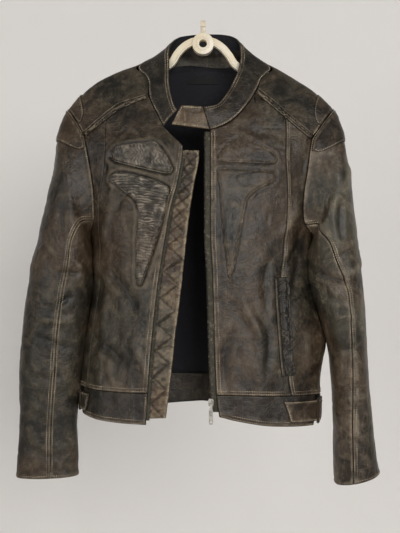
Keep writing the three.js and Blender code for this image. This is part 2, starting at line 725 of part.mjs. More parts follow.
// Collar: a stand from the neck seam to a top edge that leans in round the neck.
// Top edge as [bearing round the neck, across, depth, height]
const NECK_MIDDLE = [7, -5];
const COLLAR_TOP = [
  [214, -44, -61, -171], [211, -48.6, -58, -167], [199.5, -57, -45, -141], [191.8, -62, -30, -108],
  [184.7, -62, -17, -80], [176.4, -63, -2, -54], [165.3, -60, 18, -31], [149.2, -48, 38, -14],
  [127, -27, 49, -8], [96.7, 0, 52, -5], [59.9, 33, 50, -6], [33.5, 57, 40, -12],
  [15.5, 68, 22, -24], [3.6, 69.5, 0, -53], [-5.1, 67, -17, -80], [-15.5, 57, -31, -108],
  [-25.7, 42, -43, -138], [-41.7, 23, -54, -160], [-63.9, 8, -60, -164], [-94, -4, -61, -164],
];
const collarTop = [1, 2, 3].map((k) => track(COLLAR_TOP.map((row) => [row[0], row[k]])));

function bearing(p) {
  const angle = THREE.MathUtils.radToDeg(Math.atan2(p.y - NECK_MIDDLE[1], p.x - NECK_MIDDLE[0]));
  return angle < -110 ? angle + 360 : angle;
}

function outwardOf(grid, turn) {
  const [r, c] = [grid.length - 1, grid[0].length - 1];
  return grid.map((row, i) => row.map((_, j) => {
    const along = grid[i][Math.min(c, j + 1)].clone().sub(grid[i][Math.max(0, j - 1)]);
    const up = grid[Math.min(r, i + 1)][j].clone().sub(grid[Math.max(0, i - 1)][j]);
    return along.cross(up).multiplyScalar(turn).normalize();
  }));
}

{
  const [r, l] = [SEAMS.right, SEAMS.left];
  const body3 = (side, list) => list.map((p) => bodyPoint(side, p[0], p[1]));
  const feet = joined(
    body3('right', r.neckFront.slice(r.collarStart)),
    body3('right', r.neckUp),
    body3('right', r.neckBackSide),
    body3('right', r.neckBack),
    reversed(body3('left', l.neckBack)),
    reversed(body3('left', l.neckBackSide)),
    reversed(body3('left', l.neckUp)),
    reversed(body3('left', l.neckFront)),
  );
  const crown = feet.map((p) => vec(...collarTop.map((f) => f(bearing(p)))));
  const foot = feet.map((p, j) => p.clone().addScaledVector(crown[j].clone().sub(p).normalize(), 3 * GAP));
  const flat = evenly(4).map((v) => foot.map((p, j) => p.clone().lerp(crown[j], v)));
  const flatOut = outwardOf(flat, -1);
  const bellied = flat.map((row, i) => row.map((p, j) =>
    p.clone().addScaledVector(flatOut[i][j], COLLAR_BELLY * Math.sin((Math.PI * i) / 4))));
  sheet('collar', bellied, outwardOf(bellied, -1), COLLAR_WALL, 'leather');

  // The throat tab runs on from the left end of the collar
  const end = NETS.collar.points.map((row) => row[row.length - 1]);
  const tabTop = [-40, -64.5, -163];
  const tabFoot = [-57, -66.5, -198];
  const tab = end.map((p, i) => {
    const far = vec(...tabFoot.map((value, k) => mix(value, tabTop[k], i / (end.length - 1))));
    const near = vec(p.x - 1.5 * GAP, p.y, p.z);
    return evenly(4).map((t) => near.clone().lerp(far, t).add(vec(0, -3 * Math.sin(Math.PI * t), 0)));
  });
  sheet('collar_tab', tab, outwardOf(tab, -1), COLLAR_WALL, 'tan');
}

// A point on the net of a built panel, from the view in front
function onPanels(names, across, z) {
  let best = null;
  names.forEach((name) => {
    const { points, directions } = NETS[name];
    for (let i = 0; i + 1 < points.length; i += 1) {
      for (let j = 0; j + 1 < points[0].length; j += 1) {
        [[[i, j], [i, j + 1], [i + 1, j + 1]], [[i, j], [i + 1, j + 1], [i + 1, j]]].forEach((ids) => {
          const [a, b, c] = ids.map(([m, n]) => points[m][n]);
          const area = (b.x - a.x) * (c.z - a.z) - (c.x - a.x) * (b.z - a.z);
          if (Math.abs(area) < 1e-6) return;
          const u = ((across - a.x) * (c.z - a.z) - (c.x - a.x) * (z - a.z)) / area;
          const v = ((b.x - a.x) * (z - a.z) - (across - a.x) * (b.z - a.z)) / area;
          const inside = Math.min(u, v, 1 - u - v);
          if (best && inside <= best.inside) return;
          const blend = (list) => ids.reduce(
            (sum, [m, n], k) => sum.addScaledVector(list[m][n], [1 - u - v, u, v][k]),
            vec(0, 0, 0),
          );
          best = { inside, point: blend(points), direction: blend(directions).normalize() };
        });
      }
    }
  });
  return best;
}

// A piece that lies on panels, between two edges seen from the front
function appliedStrip(name, panels, edgeA, edgeB, cells, profile, paint, rest = REST) {
  const [a, b] = [edgeA, edgeB].map((edge) => {
    const points = edge.map(([x, z]) => vec(x, 0, z));
    return new THREE.CatmullRomCurve3(points, false, 'centripetal').getSpacedPoints(cells);
  });
  const rows = profile.map(([share, lift]) => a.map((p, k) => {
    const q = p.clone().lerp(b[k], share);
    return { ...onPanels(panels, q.x, q.z), lift };
  }));
  const lifted = (by) =>
    rows.map((row) => row.map((s) => s.point.clone().addScaledVector(s.direction, by(s))));
  return add(name, wall(lifted((s) => rest + s.lift), lifted(() => rest)), paint);
}

// Chest pads. A profile runs from one edge to the other by [share, lift].
const PAD = [
  [0, 0.5], [0.1, PAD_LIFT * 0.72], [0.26, PAD_LIFT], [0.5, PAD_LIFT * 1.06], [0.74, PAD_LIFT],
  [0.9, PAD_LIFT * 0.72], [1, 0.5],
];
appliedStrip(
  'right_upper_chest_pad', ['right_front', 'right_side_panel'],
  [[-165.5, -247], [-155, -236.5], [-131, -232.5], [-102.5, -230.5], [-87, -229], [-76, -239],
    [-64, -256], [-54, -277]],
  [[-166.5, -255], [-158, -262], [-133, -270], [-110, -276], [-85, -282], [-72, -285],
    [-60, -285.5], [-56, -283]],
  16, PAD, 'pad', PAD_REST,
);
appliedStrip(
  'right_lower_chest_pad', ['right_front', 'right_side_panel'],
  [[-165, -291], [-158, -285], [-143, -284], [-111, -291], [-76, -303], [-61, -313],
    [-61, -330], [-70, -365], [-76, -386], [-94, -441], [-104, -472], [-108, -482]],
  [[-166, -296], [-160, -301], [-139, -318], [-121, -333], [-114.5, -350], [-114, -368],
    [-116.5, -386], [-117, -410], [-117.5, -440], [-118, -466], [-115, -478], [-112, -483]],
  22, PAD, 'pad', PAD_REST,
);
appliedStrip(
  'left_upper_chest_pad', ['left_front'],
  [[25, -259], [32, -247], [43, -232], [55, -224], [66, -219.5], [82, -225], [107, -237],
    [126, -250], [131, -258]],
  [[27, -263], [34, -265], [50, -266], [65, -266.5], [80, -267], [100, -267], [115, -267.5],
    [126, -266.5], [130, -263]],
  16, PAD, 'pad', PAD_REST,
);
appliedStrip(
  'left_lower_chest_pad', ['left_front'],
  [[129.5, -285], [129, -298], [107, -308], [88, -320], [77.5, -332], [72, -357], [64, -400],
    [54, -452], [48, -470]],
  [[128.5, -283], [105, -281], [70, -279.5], [30, -278], [25.5, -281], [28, -310], [33, -371],
    [41, -443], [45, -470.5]],
  22, PAD, 'pad', PAD_REST,
);

// Ribbed strips along the front yoke seams
const RIBS = [
  [0, 0.8], [0.12, STRIP_LIFT], [0.26, 1.1], [0.4, STRIP_LIFT], [0.6, STRIP_LIFT], [0.74, 1.1],
  [0.88, STRIP_LIFT], [1, 0.8],
];
appliedStrip(
  'right_yoke_strip', ['right_front', 'right_side_panel', 'right_yoke'],
  [[-101, -136], [-126, -143.5], [-152, -151], [-185, -175], [-219, -206]],
  [[-102, -145], [-127, -156], [-153, -169], [-185, -193], [-216.5, -217]],
  10, RIBS, 'edge',
);
appliedStrip(
  'left_yoke_strip', ['left_front', 'left_side_panel', 'left_yoke'],
  [[100, -123.5], [125, -145], [150, -168], [175, -190], [200, -211]],
  [[94, -135], [119, -157], [146, -181], [171, -202], [195.5, -221]],
  10, RIBS, 'edge',
);

// A place on a net by fractional row and column, on the facets themselves
function onNet(netOf, row, col) {
  const { points, directions } = netOf;
  const i = Math.min(points.length - 2, Math.floor(row));
  const j = Math.min(points[0].length - 2, Math.floor(col));
  const [v, u] = [row - i, col - j];
  const ids = u >= v ? [[i, j], [i, j + 1], [i + 1, j + 1]] : [[i, j], [i + 1, j + 1], [i + 1, j]];
  const shares = u >= v ? [1 - u, u - v, v] : [1 - v, u, v - u];
  const blend = (list) => ids.reduce(
    (sum, [m, n], k) => sum.addScaledVector(list[m][n], shares[k]),
    vec(0, 0, 0),
  );
  return { point: blend(points), direction: blend(directions).normalize() };
}

function appliedPatch(name, on, places, lift, paint, rest = REST) {
  const spots = places.map((row) => row.map(([i, j]) => onNet(NETS[on], i, j)));
  const lifted = (by) =>
    spots.map((row) => row.map((s) => s.point.clone().addScaledVector(s.direction, by)));
  return add(name, wall(lifted(rest + lift), lifted(rest)), paint);
}

// Shoulder patches: one on the yoke and one on the sleeve head
['right', 'left'].forEach((side) => {
  const yokeCols = YOKE_INNER + YOKE_OUTER;
  const onYoke = evenly(6).map((v) => {
    const row = mix(1, 7, v);
    const start = yokeCols - 0.5 - 2.2 * Math.sqrt(1 - ((row - 4) / 3.3) ** 2);
    const cols = [0, 1, 2].map((k) => Math.max(yokeCols - 3 + k, start + 0.1 * k));
    return [...cols, yokeCols - 0.12].map((col) => [row, col]);
  });
  appliedPatch(`${side}_yoke_patch`, `${side}_yoke`, onYoke, PATCH_LIFT, 'leather', PAD_REST);
  const middle = CELLS_ROUND - BACK_SEAM_CELL;
  const onCap = [0, 1, 2, 3, 4].map((k) => evenly(10).map((u) => {
    const col = mix(middle - 5, middle + 5, u);
    const start = SLEEVE_ROWS - 0.4 - 3.1 * Math.sqrt(1 - ((col - middle) / 5.4) ** 2);
    return [k < 4 ? Math.max(SLEEVE_ROWS - 4 + k, start + 0.1 * k) : SLEEVE_ROWS - 0.3, col];
  }));
  appliedPatch(`${side}_sleeve_patch`, `${side}_sleeve_upper`, onCap, PATCH_LIFT, 'leather', 2.5 * PAD_REST);
});

// Pocket in the left princess seam: a stitched welt and the puckered strip beside it
appliedStrip(
  'left_pocket_welt', ['left_front', 'left_side_panel'],
  [[126.5, -469], [128.5, -520], [131.5, -565], [134.5, -610], [139, -647]],
  [[133, -470], [135.5, -520], [138.5, -565], [141.5, -610], [146, -646]],
  12, [[0, 0.8], [0.3, 2.6], [0.7, 2.6], [1, 0.8]], 'edge',
);
appliedStrip(
  'left_pocket_strip', ['left_side_panel', 'left_front'],
  [[141.5, -470], [144, -520], [147.5, -565], [150.5, -610], [155, -646]],
  [[152.5, -470], [154.5, -520], [157.5, -565], [160, -610], [163.5, -644]],
  12, [[0, 0.6], [0.3, 1.8], [0.7, 1.8], [1, 0.6]], 'leather',
);

// Strips that hang along the front edges, by rows of height
function edgeStrip(name, side, tops, inner, outer, depth, rows, cols, thickness, paint) {
  const body = SIDES[side];
  const grid = evenly(rows).map((v) => evenly(cols).map((u) => {
    const z = mix(tops[1], tops[0], v);
    const across = mix(inner(z), outer(z), u);
    return vec(body.sign * across, body.frontDepth(z) + depth(u, z), z);
  }));
  const ahead = grid.map((row) => row.map(() => vec(0, -1, 0)));
  return sheet(name, grid, ahead, thickness, paint);
}
const flapEdge = track([
  [-222, 6.5], [-253, 6.7], [-300, 14.6], [-346, 22], [-390, 27.6], [-485, 37.5], [-565, 47.5],
  [-644, 55.8], [-715, 64.6],
]);
edgeStrip(
  'right_zip_tape', 'right', [-258, -718],
  (z) => SIDES.right.frontAcross(z) + 10, (z) => SIDES.right.frontAcross(z) - 5,
  () => 3.3, 16, 2, THIN, 'tape',
);
edgeStrip(
  'right_wind_flap', 'right', [-243, -715],
  (z) => SIDES.right.frontAcross(z) + 12, flapEdge,
  (u, z) => 5.2 + 4 * u * u + 0.8 * Math.sin(z / 17) * u, 20, 4, 2.6, 'tan',
);
edgeStrip(
  'left_zip_tape', 'left', [-209, -706],
  (z) => SIDES.left.frontAcross(z) + 9, (z) => SIDES.left.frontAcross(z) - 9.5,
  () => 3.1, 18, 2, THIN + 0.4, 'tape',
);

// Waist adjusters: strap, keeper and the folded end, one on each side of the band
['right', 'left'].forEach((side) => {
  const body = SIDES[side];
  const [from, to] = NOTCH[side];
  const height = (round, v) => mix(body.hem(round) + 5, body.bandSeam(round) - 6, v);
  const strip = (name, a, b, lean, low, high, lift, thickness, cells, paint) => {
    const places = evenly(2).map((v) => evenly(cells).map((t) => {
      const round = mix(a + lean * (v - 0.5), b, t);
      return [round, height(round, mix(low, high, v))];
    }));
    bodySheet(name, side, places, thickness, lift, paint);
  };
  strip(`${side}_adjuster_strap`, from - 0.12, to + 0.02, -0.05, 0.06, 0.94, 3.4, 2.2, 8, 'edge');
  strip(`${side}_adjuster_keeper`, from + 0.01, from + 0.05, 0, -0.02, 1.02, 5.6, 1.6, 2, 'leather');
  strip(`${side}_adjuster_end`, to + 0.035, to + 0.12, 0.02, 0.02, 0.98, 3.2, 2.2, 4, 'edge');
});

// Zip slider at the foot of the left tape: two plates round the tape's free edge, and
// two lugs with a pin, from which the pull hangs
const SLIDER = { x: 13.5, z: -689, y: SIDES.left.frontDepth(-689) };
const PULL_PIVOT = vec(SLIDER.x, SLIDER.y - 3.4, SLIDER.z - 3);
const PULL_PIN = 0.8; // radius
const PULL_PLAY = 0.08;
function extruded(outline, depth) {
  const shape = new THREE.Shape(outline.map(([x, z]) => new THREE.Vector2(x, z)));
  const geometry = new THREE.ExtrudeGeometry(shape, { depth, bevelEnabled: false });
  geometry.rotateX(Math.PI / 2);
  return toManifold(geometry);
}
const block = (x, y, z, wide, deep, tall) => {
  const box = new THREE.BoxGeometry(wide, deep, tall);
  box.translate(x, y, z);
  return toManifold(box);
};
const pinAlongX = (radius, length, x, y, z) => {
  const pin = new THREE.CylinderGeometry(radius, radius, length, 14);
  pin.rotateZ(Math.PI / 2);
  pin.translate(x, y, z);
  return toManifold(pin);
};
{
  const plate = [[-4, -6], [4, -6], [5.2, 3.5], [3.2, 6.5], [-3.2, 6.5], [-5.2, 3.5]];
  const lug = (x) => block(x, -1.8, -3, 1.1, 5.2, 2.8);
  const slider = extruded(plate, 2.3)
    .translate([0, 2.6, 0])
    .add(extruded(plate, 1.8).translate([0, 7.2, 0]))
    .add(block(-2.4, 3.5, 4.6, 2.6, 7, 3.4))
    .add(lug(-3.1))
    .add(lug(3.1))
    .add(pinAlongX(PULL_PIN, 6.4, 0, -3.4, -3))
    .translate([SLIDER.x, SLIDER.y, SLIDER.z]);
  add('zip_slider', fromManifold(slider), 'metal');

  const tongue = [
    [-2.1, 0], [2.1, 0], [2.1, -6], [3.6, -11], [3.6, -32], [2.6, -34.5], [-2.6, -34.5],
    [-3.6, -32], [-3.6, -11], [-2.1, -6],
  ];
  const eye = new THREE.CylinderGeometry(1.7, 1.7, 4, 12);
  eye.translate(0, 0, -30);
  const pull = extruded(tongue, 1.4)
    .translate([0, 0.7, 0])
    .add(pinAlongX(1.9, 4.2, 0, 0, 0))
    .subtract(pinAlongX(PULL_PIN + PULL_PLAY, 8, 0, 0, 0))
    .subtract(toManifold(eye))
    .translate(PULL_PIVOT.toArray());
  add('zip_pull', fromManifold(pull), 'metal');
}

// A bar with a constant profile, swept along a line that stays in one plane
function swept(spine, profile, across) {
  const rings = spine.map((p, i) => {
    const before = spine[Math.max(0, i - 1)];
    const after = spine[Math.min(spine.length - 1, i + 1)];
    const rise = across.clone().cross(after.clone().sub(before)).normalize();
    return profile.map(([u, v]) => p.clone().addScaledVector(rise, u).addScaledVector(across, v));
  });
  const n = profile.length;
  const faces = [];
  rings.slice(1).forEach((_, i) => {
    profile.forEach((__, k) => {
      const m = (k + 1) % n;
      const [a, b] = [i * n + k, i * n + m];
      faces.push([a, b, b + n], [a, b + n, a + n]);
    });
  });
  const end = (rings.length - 1) * n;
  const section = profile.map(([u, v]) => new THREE.Vector2(u, v));
  THREE.ShapeUtils.triangulateShape(section, []).forEach(([a, b, c]) => {
    faces.push([a, c, b], [end + a, end + b, end + c]);
  });
  return solid(rings.flat(), faces);
}

// Hanger: two arms with a raised rim, a ring boss, and a hook turned edge-on to the view
const ARM_LINES = {
  right: [
    [22, -34.5], [36, -43], [48, -56], [59, -73], [84, -86], [125, -96], [150, -102.6],
    [170, -110], [190, -118.6], [205, -127],
  ],
  left: [
    [22, -35], [36, -44.5], [48, -58.5], [60, -76], [84, -89], [125, -98.4], [150, -106.8],
    [170, -116.4], [190, -126.4], [205, -136.4],
  ],
};
{
  const middle = vec(0, 0, -31);
  const spine = [
    ...reversed(ARM_LINES.right).map(([x, z]) => vec(-x, 0, z)),
    middle,
    ...ARM_LINES.left.map(([x, z]) => vec(x, 0, z)),
  ];
  const curve = new THREE.CatmullRomCurve3(spine, false, 'centripetal');
  const rimmed = [[-7, -4], [4, -4], [4, -7], [7, -7], [7, 7], [4, 7], [4, 4], [-7, 4]];
  const arms = toManifold(swept(curve.getSpacedPoints(40), rimmed, vec(0, 1, 0)));
  const profile = [
    [7.5, -9], [10, -9], [10, -10.5], [12.5, -10.5], [12.5, -9], [HANGER_DISC, -9],
    [HANGER_DISC, 9], [7.5, 9], [7.5, -9],
  ];
  const boss = new THREE.LatheGeometry(profile.map(([r, y]) => new THREE.Vector2(r, y)), 36);
  boss.translate(0, 0, HANGER_DISC_Z);
  const bore = new THREE.CylinderGeometry(HANGER_DISC - 1, HANGER_DISC - 1, 30, 36);
  bore.translate(0, 0, HANGER_DISC_Z);
  const body = arms.subtract(toManifold(bore)).add(toManifold(boss));
  const hookLine = [
    [4, -22], [8.5, -15], [10.8, -8], [9.4, -1], [5.5, 2.6], [0, 4], [-5.5, 2.6], [-9.2, -1.5],
    [-10.4, -8],
  ];
  const hookPoints = hookLine.map(([y, z]) => vec(0, y, z));
  const hookCurve = new THREE.CatmullRomCurve3(hookPoints, false, 'centripetal');
  const half = HOOK_WIDTH / 2;
  const hookBar = [[-2.2, -half], [2.2, -half], [2.2, half], [-2.2, half]];
  const hook = toManifold(swept(hookCurve.getSpacedPoints(24), hookBar, vec(1, 0, 0)));
  add('hanger', fromManifold(body.add(hook)), 'hanger');
}

export default jacket;
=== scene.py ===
# %% [markdown]
# # A worn leather rider jacket on its hanger
# The jacket hangs open by the hook of a moulded hanger. Its shape is already settled in the
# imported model: this lesson dresses it. Each leather panel is rebuilt as a fine shell from the
# same sections and seam lines, then gets its folds, stitching and worn surface.

import bpy
import numpy as np
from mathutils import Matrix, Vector
from mathutils.bvhtree import BVHTree


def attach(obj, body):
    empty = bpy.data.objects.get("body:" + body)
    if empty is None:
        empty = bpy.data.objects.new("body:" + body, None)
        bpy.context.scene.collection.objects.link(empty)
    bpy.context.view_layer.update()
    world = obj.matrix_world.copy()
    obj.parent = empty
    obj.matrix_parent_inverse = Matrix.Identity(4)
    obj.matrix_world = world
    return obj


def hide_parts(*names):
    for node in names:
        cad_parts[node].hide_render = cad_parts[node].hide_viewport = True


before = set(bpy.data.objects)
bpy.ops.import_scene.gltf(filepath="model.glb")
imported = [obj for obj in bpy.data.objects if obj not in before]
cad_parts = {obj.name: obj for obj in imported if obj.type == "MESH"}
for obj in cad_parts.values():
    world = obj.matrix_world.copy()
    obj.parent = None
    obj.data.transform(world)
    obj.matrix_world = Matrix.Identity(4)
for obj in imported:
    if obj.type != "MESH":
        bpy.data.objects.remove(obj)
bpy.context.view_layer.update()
MM = 0.001

# %% [markdown]
# ## The camera
# The photograph was taken straight on, from about 1.6 m, at the height of the chest. A camera
# at the same place gives the same foreshortening at the hem and the cuffs. The whole frame is
# 533 pixels tall, and an object 1 m wide at 1 m would be 860 pixels wide, which sets the lens.

# %% Camera
FOCAL_PIXELS = 860.0
FRAME_PIXELS = (400, 533)
CAMERA_AT = (-5.6, -1600.0, -451.0)
lens = bpy.data.cameras.new("camera")
lens.sensor_fit = "AUTO"
lens.sensor_width = 36.0
lens.lens = 36.0 * FOCAL_PIXELS / FRAME_PIXELS[1]
camera = bpy.data.objects.new("camera", lens)
camera.location = Vector(CAMERA_AT) * MM
camera.rotation_euler = (np.pi / 2, 0, 0)
bpy.context.scene.collection.objects.link(camera)
bpy.context.scene.camera = camera
print("lens", round(lens.lens, 2), "mm")

# %% [markdown]
# ## Smooth measurements
# A pattern cutter measures a form at a few heights and draws a fair line through them. Here a
# track does that: a cubic through the keys that never overshoots. A drawn line is a spline
# through points, read by its own length, so that seams keep even spacing.

# %% Tracks and drawn lines
def track(keys):
    keys = np.array(sorted(keys), float)
    at, value = keys[:, 0], keys[:, 1:]
    step = np.diff(value, axis=0) / np.diff(at)[:, None]
    before, after = np.vstack([step[:1], step]), np.vstack([step, step[-1:]])
    fair = before * after > 0
    slope = np.where(fair, 2 * before * after / np.where(fair, before + after, 1), 0)

    def read(place):
        place = np.clip(np.asarray(place, float), at[0], at[-1])
        i = np.clip(np.searchsorted(at, place) - 1, 0, len(at) - 2)
        width = (at[i + 1] - at[i])[..., None]
        t = (place - at[i])[..., None] / width
        a, b, sa, sb = value[i], value[i + 1], slope[i], slope[i + 1]
        inside = 3 * (b - a) - width * (2 * sa + sb)
        outside = 2 * (a - b) + width * (sa + sb)
        out = a + t * (width * sa + t * (inside + t * outside))
        return out[..., 0] if out.shape[-1] == 1 else out

    return read


print("a track between its keys:", track([(0, 0), (1, 4), (2, 5)])([0.5, 1.5]).round(2))


# %% Drawn lines and small helpers
def fair_curve(points, steps=60):
    p = np.array(points, float)
    p = np.vstack([2 * p[0] - p[1], p, 2 * p[-1] - p[-2]])
    gaps = np.maximum(np.linalg.norm(np.diff(p, axis=0), axis=1) ** 0.5, 1e-4)
    out = [p[1]]
    t = (np.arange(steps) + 1)[:, None] / steps
    for i in range(1, len(p) - 2):
        g0, g1, g2 = gaps[i - 1], gaps[i], gaps[i + 1]
        a, b, c, d = p[i - 1], p[i], p[i + 1], p[i + 2]
        m1 = ((b - a) / g0 - (c - a) / (g0 + g1) + (c - b) / g1) * g1
        m2 = ((c - b) / g1 - (d - b) / (g1 + g2) + (d - c) / g2) * g1
        out.extend(b + t * (m1 + t * (3 * (c - b) - 2 * m1 - m2 + t * (2 * (b - c) + m1 + m2))))
    return np.array(out)


def run_of(line):
    """The length along a line at each of its points."""
    return np.concatenate([[0], np.cumsum(np.linalg.norm(np.diff(line, axis=0), axis=1))])


def read_at(place, run, line):
    return np.stack([np.interp(place, run, line[:, k]) for k in range(line.shape[1])], -1)


def by_length(line, shares):
    """Points of a line at shares of its length."""
    line = np.asarray(line, float)
    run = run_of(line)
    return read_at(np.asarray(shares) * run[-1], run, line)


def unit(vectors):
    return vectors / np.maximum(np.linalg.norm(vectors, axis=-1, keepdims=True), 1e-9)


def mix(a, b, t):
    return a + (b - a) * t


def bump(t):
    return np.exp(-np.square(t))


def ease(t):
    t = np.clip(t, 0, 1)
    return t * t * (3 - 2 * t)


sample = fair_curve([(0, 0), (3, 4), (9, 4)])
print("half way along a drawn line:", by_length(sample, [0.5]).round(2))

# %% [markdown]
# ## The body as level sections
# Each half of the jacket is a stack of level curves, from the front edge round the side to the
# centre back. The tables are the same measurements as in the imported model, in millimetres:
# "right" is the wearer's right, at -X, and "left" is at +X. A fold is a turn and a height, its
# half widths in both, how it leans, and how high it stands.

# %% Measurements of the two halves
SIDES = {
    "right": {
        "sign": -1,
        "front_across": track([
            (-60, 36), (-237, 36), (-300, 44.4), (-346, 56.7), (-390, 64.4), (-485, 79.1),
            (-565, 87.5), (-644, 94.1), (-725, 98.9)]),
        "front_depth": track([
            (-52, -2), (-67, -5), (-100, -18), (-144, -38), (-163, -45), (-197, -56), (-237, -72),
            (-300, -80), (-346, -85), (-485, -95), (-565, -101), (-644, -108), (-725, -115)]),
        "side_across": track([
            (-46, 86), (-58, 95), (-67, 104), (-85, 153), (-104, 194), (-123, 221), (-141, 238),
            (-160, 250), (-176, 253), (-205, 250), (-240, 243), (-280, 232), (-320, 220),
            (-355, 210), (-388, 203), (-412, 197), (-440, 195), (-480, 197), (-520, 203),
            (-570, 209), (-620, 214), (-668, 219), (-713, 222)]),
        "side_depth": track([
            (-60, 2), (-160, 0), (-300, 4), (-400, 5), (-520, 4), (-668, -4), (-713, -8)]),
        "front_round": track([
            (-60, 4), (-100, 13), (-144, 27), (-170, 33), (-200, 40), (-240, 50), (-300, 55),
            (-385, 60), (-450, 64), (-700, 72)]),
        "band_seam": track([(0, -671), (0.5, -670), (1, -668), (1.5, -666), (2, -664)]),
        "hem": track([(0, -725), (0.5, -721), (1, -713), (1.5, -717), (2, -708)]),
        "neck_top": -236, "neck_ridge": -67, "arm_top": -159, "arm_bottom": -388,
        "folds": [
            (0.16, -600, 0.05, 110, -0.0002, 3.5), (0.36, -640, 0.07, 90, 0.0002, -3.0),
            (0.56, -560, 0.06, 120, 0.0004, 3.2), (0.3, -420, 0.08, 70, 0.0006, -2.0),
            (1.55, -420, 0.1, 150, 0.0, 2.5), (1.75, -560, 0.08, 120, 0.0, -2.5),
            (1.0, -600, 0.22, 115, 0.0, 13.0), (1.0, -435, 0.22, 50, 0.0, 12.0)],
    },
    "left": {
        "sign": 1,
        "front_across": track([
            (-60, 12.5), (-390, 12.5), (-460, 15.8), (-558, 18.5), (-631, 20.8), (-677, 23),
            (-716, 28)]),
        "front_depth": track([
            (-52, -2), (-67, -5), (-95, -19), (-122, -35), (-139, -42), (-164, -50), (-184, -57),
            (-207, -63), (-250, -75), (-300, -82), (-400, -88), (-500, -92), (-600, -96),
            (-716, -99)]),
        "side_across": track([
            (-46, 84), (-58, 97), (-72, 118), (-85, 145), (-104, 179), (-123, 208), (-141, 227),
            (-160, 242), (-176, 245), (-205, 242), (-240, 233), (-280, 222), (-320, 210),
            (-355, 201), (-390, 193), (-412, 189), (-440, 188), (-490, 194), (-540, 205),
            (-575, 217), (-600, 221), (-625, 219), (-662, 216), (-700, 217), (-740, 214)]),
        "side_depth": track([
            (-60, 2), (-160, 0), (-300, 4), (-400, 5), (-520, 4), (-668, -2), (-740, -6)]),
        "front_round": track([
            (-60, 4), (-100, 13), (-144, 27), (-170, 33), (-200, 38), (-240, 46), (-300, 52),
            (-385, 58), (-450, 60), (-700, 62)]),
        "band_seam": track([(0, -676), (0.6, -682), (1, -684), (1.5, -676), (2, -664)]),
        "hem": track([
            (0, -714), (0.12, -723), (0.35, -733), (0.7, -737), (1, -739), (1.5, -730),
            (2, -708)]),
        "neck_top": -207, "neck_ridge": -72, "arm_top": -158, "arm_bottom": -390,
        "folds": [
            (0.3, -620, 0.06, 90, 0.0004, 3.2), (0.44, -560, 0.05, 110, 0.0006, -3.0),
            (0.6, -470, 0.05, 120, 0.0002, 3.0), (0.52, -640, 0.05, 60, -0.0004, 2.6),
            (1.5, -400, 0.1, 150, 0.0, 2.5), (1.78, -560, 0.08, 120, 0.0, -2.5),
            (1.0, -545, 0.22, 62, 0.0, 14.0), (1.0, -415, 0.22, 50, 0.0, 14.0)],
    },
}
back_depth = track([
    (-46, 55), (-100, 58), (-200, 60), (-300, 60), (-450, 58), (-600, 55), (-715, 50)])
back_round = track([(-55, 18), (-100, 25), (-144, 34), (-200, 40), (-300, 45), (-700, 48)])
print("folds on each half:", {side: len(SIDES[side]["folds"]) for side in SIDES})


# %% The skin of the body
def section(side, turn, z):
    s = SIDES[side]
    turn, z = np.broadcast_arrays(np.asarray(turn, float), np.asarray(z, float))
    fx, fy, sx, sy = (s[k](z) for k in ("front_across", "front_depth", "side_across", "side_depth"))
    by = back_depth(z)
    ahead = turn <= 1
    t = np.where(ahead, turn, turn - 1)
    weights = ((1 - t) ** 3, 3 * t * (1 - t) ** 2, 3 * t * t * (1 - t), t ** 3)
    front = ((fx, fy), (mix(fx, sx, 0.52), fy + 1.5), (sx, sy - s["front_round"](z)), (sx, sy))
    back = ((sx, sy), (sx, sy + back_round(z)), (0.55 * sx, by), (0 * sx, by))
    x = sum(w * np.where(ahead, f[0], b[0]) for w, f, b in zip(weights, front, back))
    y = sum(w * np.where(ahead, f[1], b[1]) for w, f, b in zip(weights, front, back))
    return np.stack([s["sign"] * x, y, z], -1)


def outward(skin, sign, u, v, du, dv):
    along = skin(u + du, v) - skin(u - du, v)
    up = skin(u, v + dv) - skin(u, v - dv)
    return unit(np.cross(along, up) * sign)


def body_skin(side, turn, z):
    bare = section(side, turn, z)
    normal = outward(lambda u, v: section(side, u, v), SIDES[side]["sign"], turn, z, 0.004, 1.5)
    rise = sum(
        h * bump((turn - r - lean * (z - at)) / wide) * bump((z - at) / tall)
        for r, at, wide, tall, lean, h in SIDES[side]["folds"])
    return bare + normal * np.asarray(rise)[..., None]


def on_body(side, plan):
    """Points of the skin for a plan drawn in turn and height."""
    return body_skin(side, plan[..., 0], plan[..., 1])


def round_skin(reach, z):
    """The skin right round the back: reach is 2 - turn, with the sign of the side."""
    reach, z = np.broadcast_arrays(reach, z)
    right, left = (body_skin(side, 2 - np.abs(reach), z) for side in ("right", "left"))
    return np.where((reach < 0)[..., None], right, left)


def place(side, across, z, back):
    low, high = (1.0, 2.0) if back else (0.0, 1.0)
    for _ in range(30):
        middle = (low + high) / 2
        reach = section(side, middle, z)[0] * SIDES[side]["sign"]
        if (reach < across) != back:
            low = middle
        else:
            high = middle
    return ((low + high) / 2, z)


print("chest point:", section("left", 0.4, -300).round(1))

# %% [markdown]
# ## Seam lines
# A seam belongs to both of its panels, so it is drawn once on the skin, as turn and height,
# and both panels start from it. That is how a real pattern is trued: two edges that are sewn
# together have the same length and shape.

# %% Draw the seams of each half
STEPS = 24  # points kept in each cell of a seam
ROUND_MM = 200.0
CELLS = {"side": 8, "arm": 9, "cap": 4, "neck": 6, "yoke_in": 5, "yoke_out": 3, "nape": 12}
AROUND = 2 * (CELLS["cap"] + CELLS["arm"])
FRONT_SEAM = CELLS["cap"] + 7
BACK_SEAM = CELLS["cap"] + CELLS["arm"] + 4


def seam(keys, shares):
    scaled = [(turn * ROUND_MM, z) for turn, z in keys]
    shares = np.linspace(0, 1, shares * STEPS + 1) if np.isscalar(shares) else shares
    return by_length(fair_curve(scaled), shares) / (ROUND_MM, 1)


def joined(*lines):
    return np.vstack([lines[0]] + [line[1:] for line in lines[1:]])


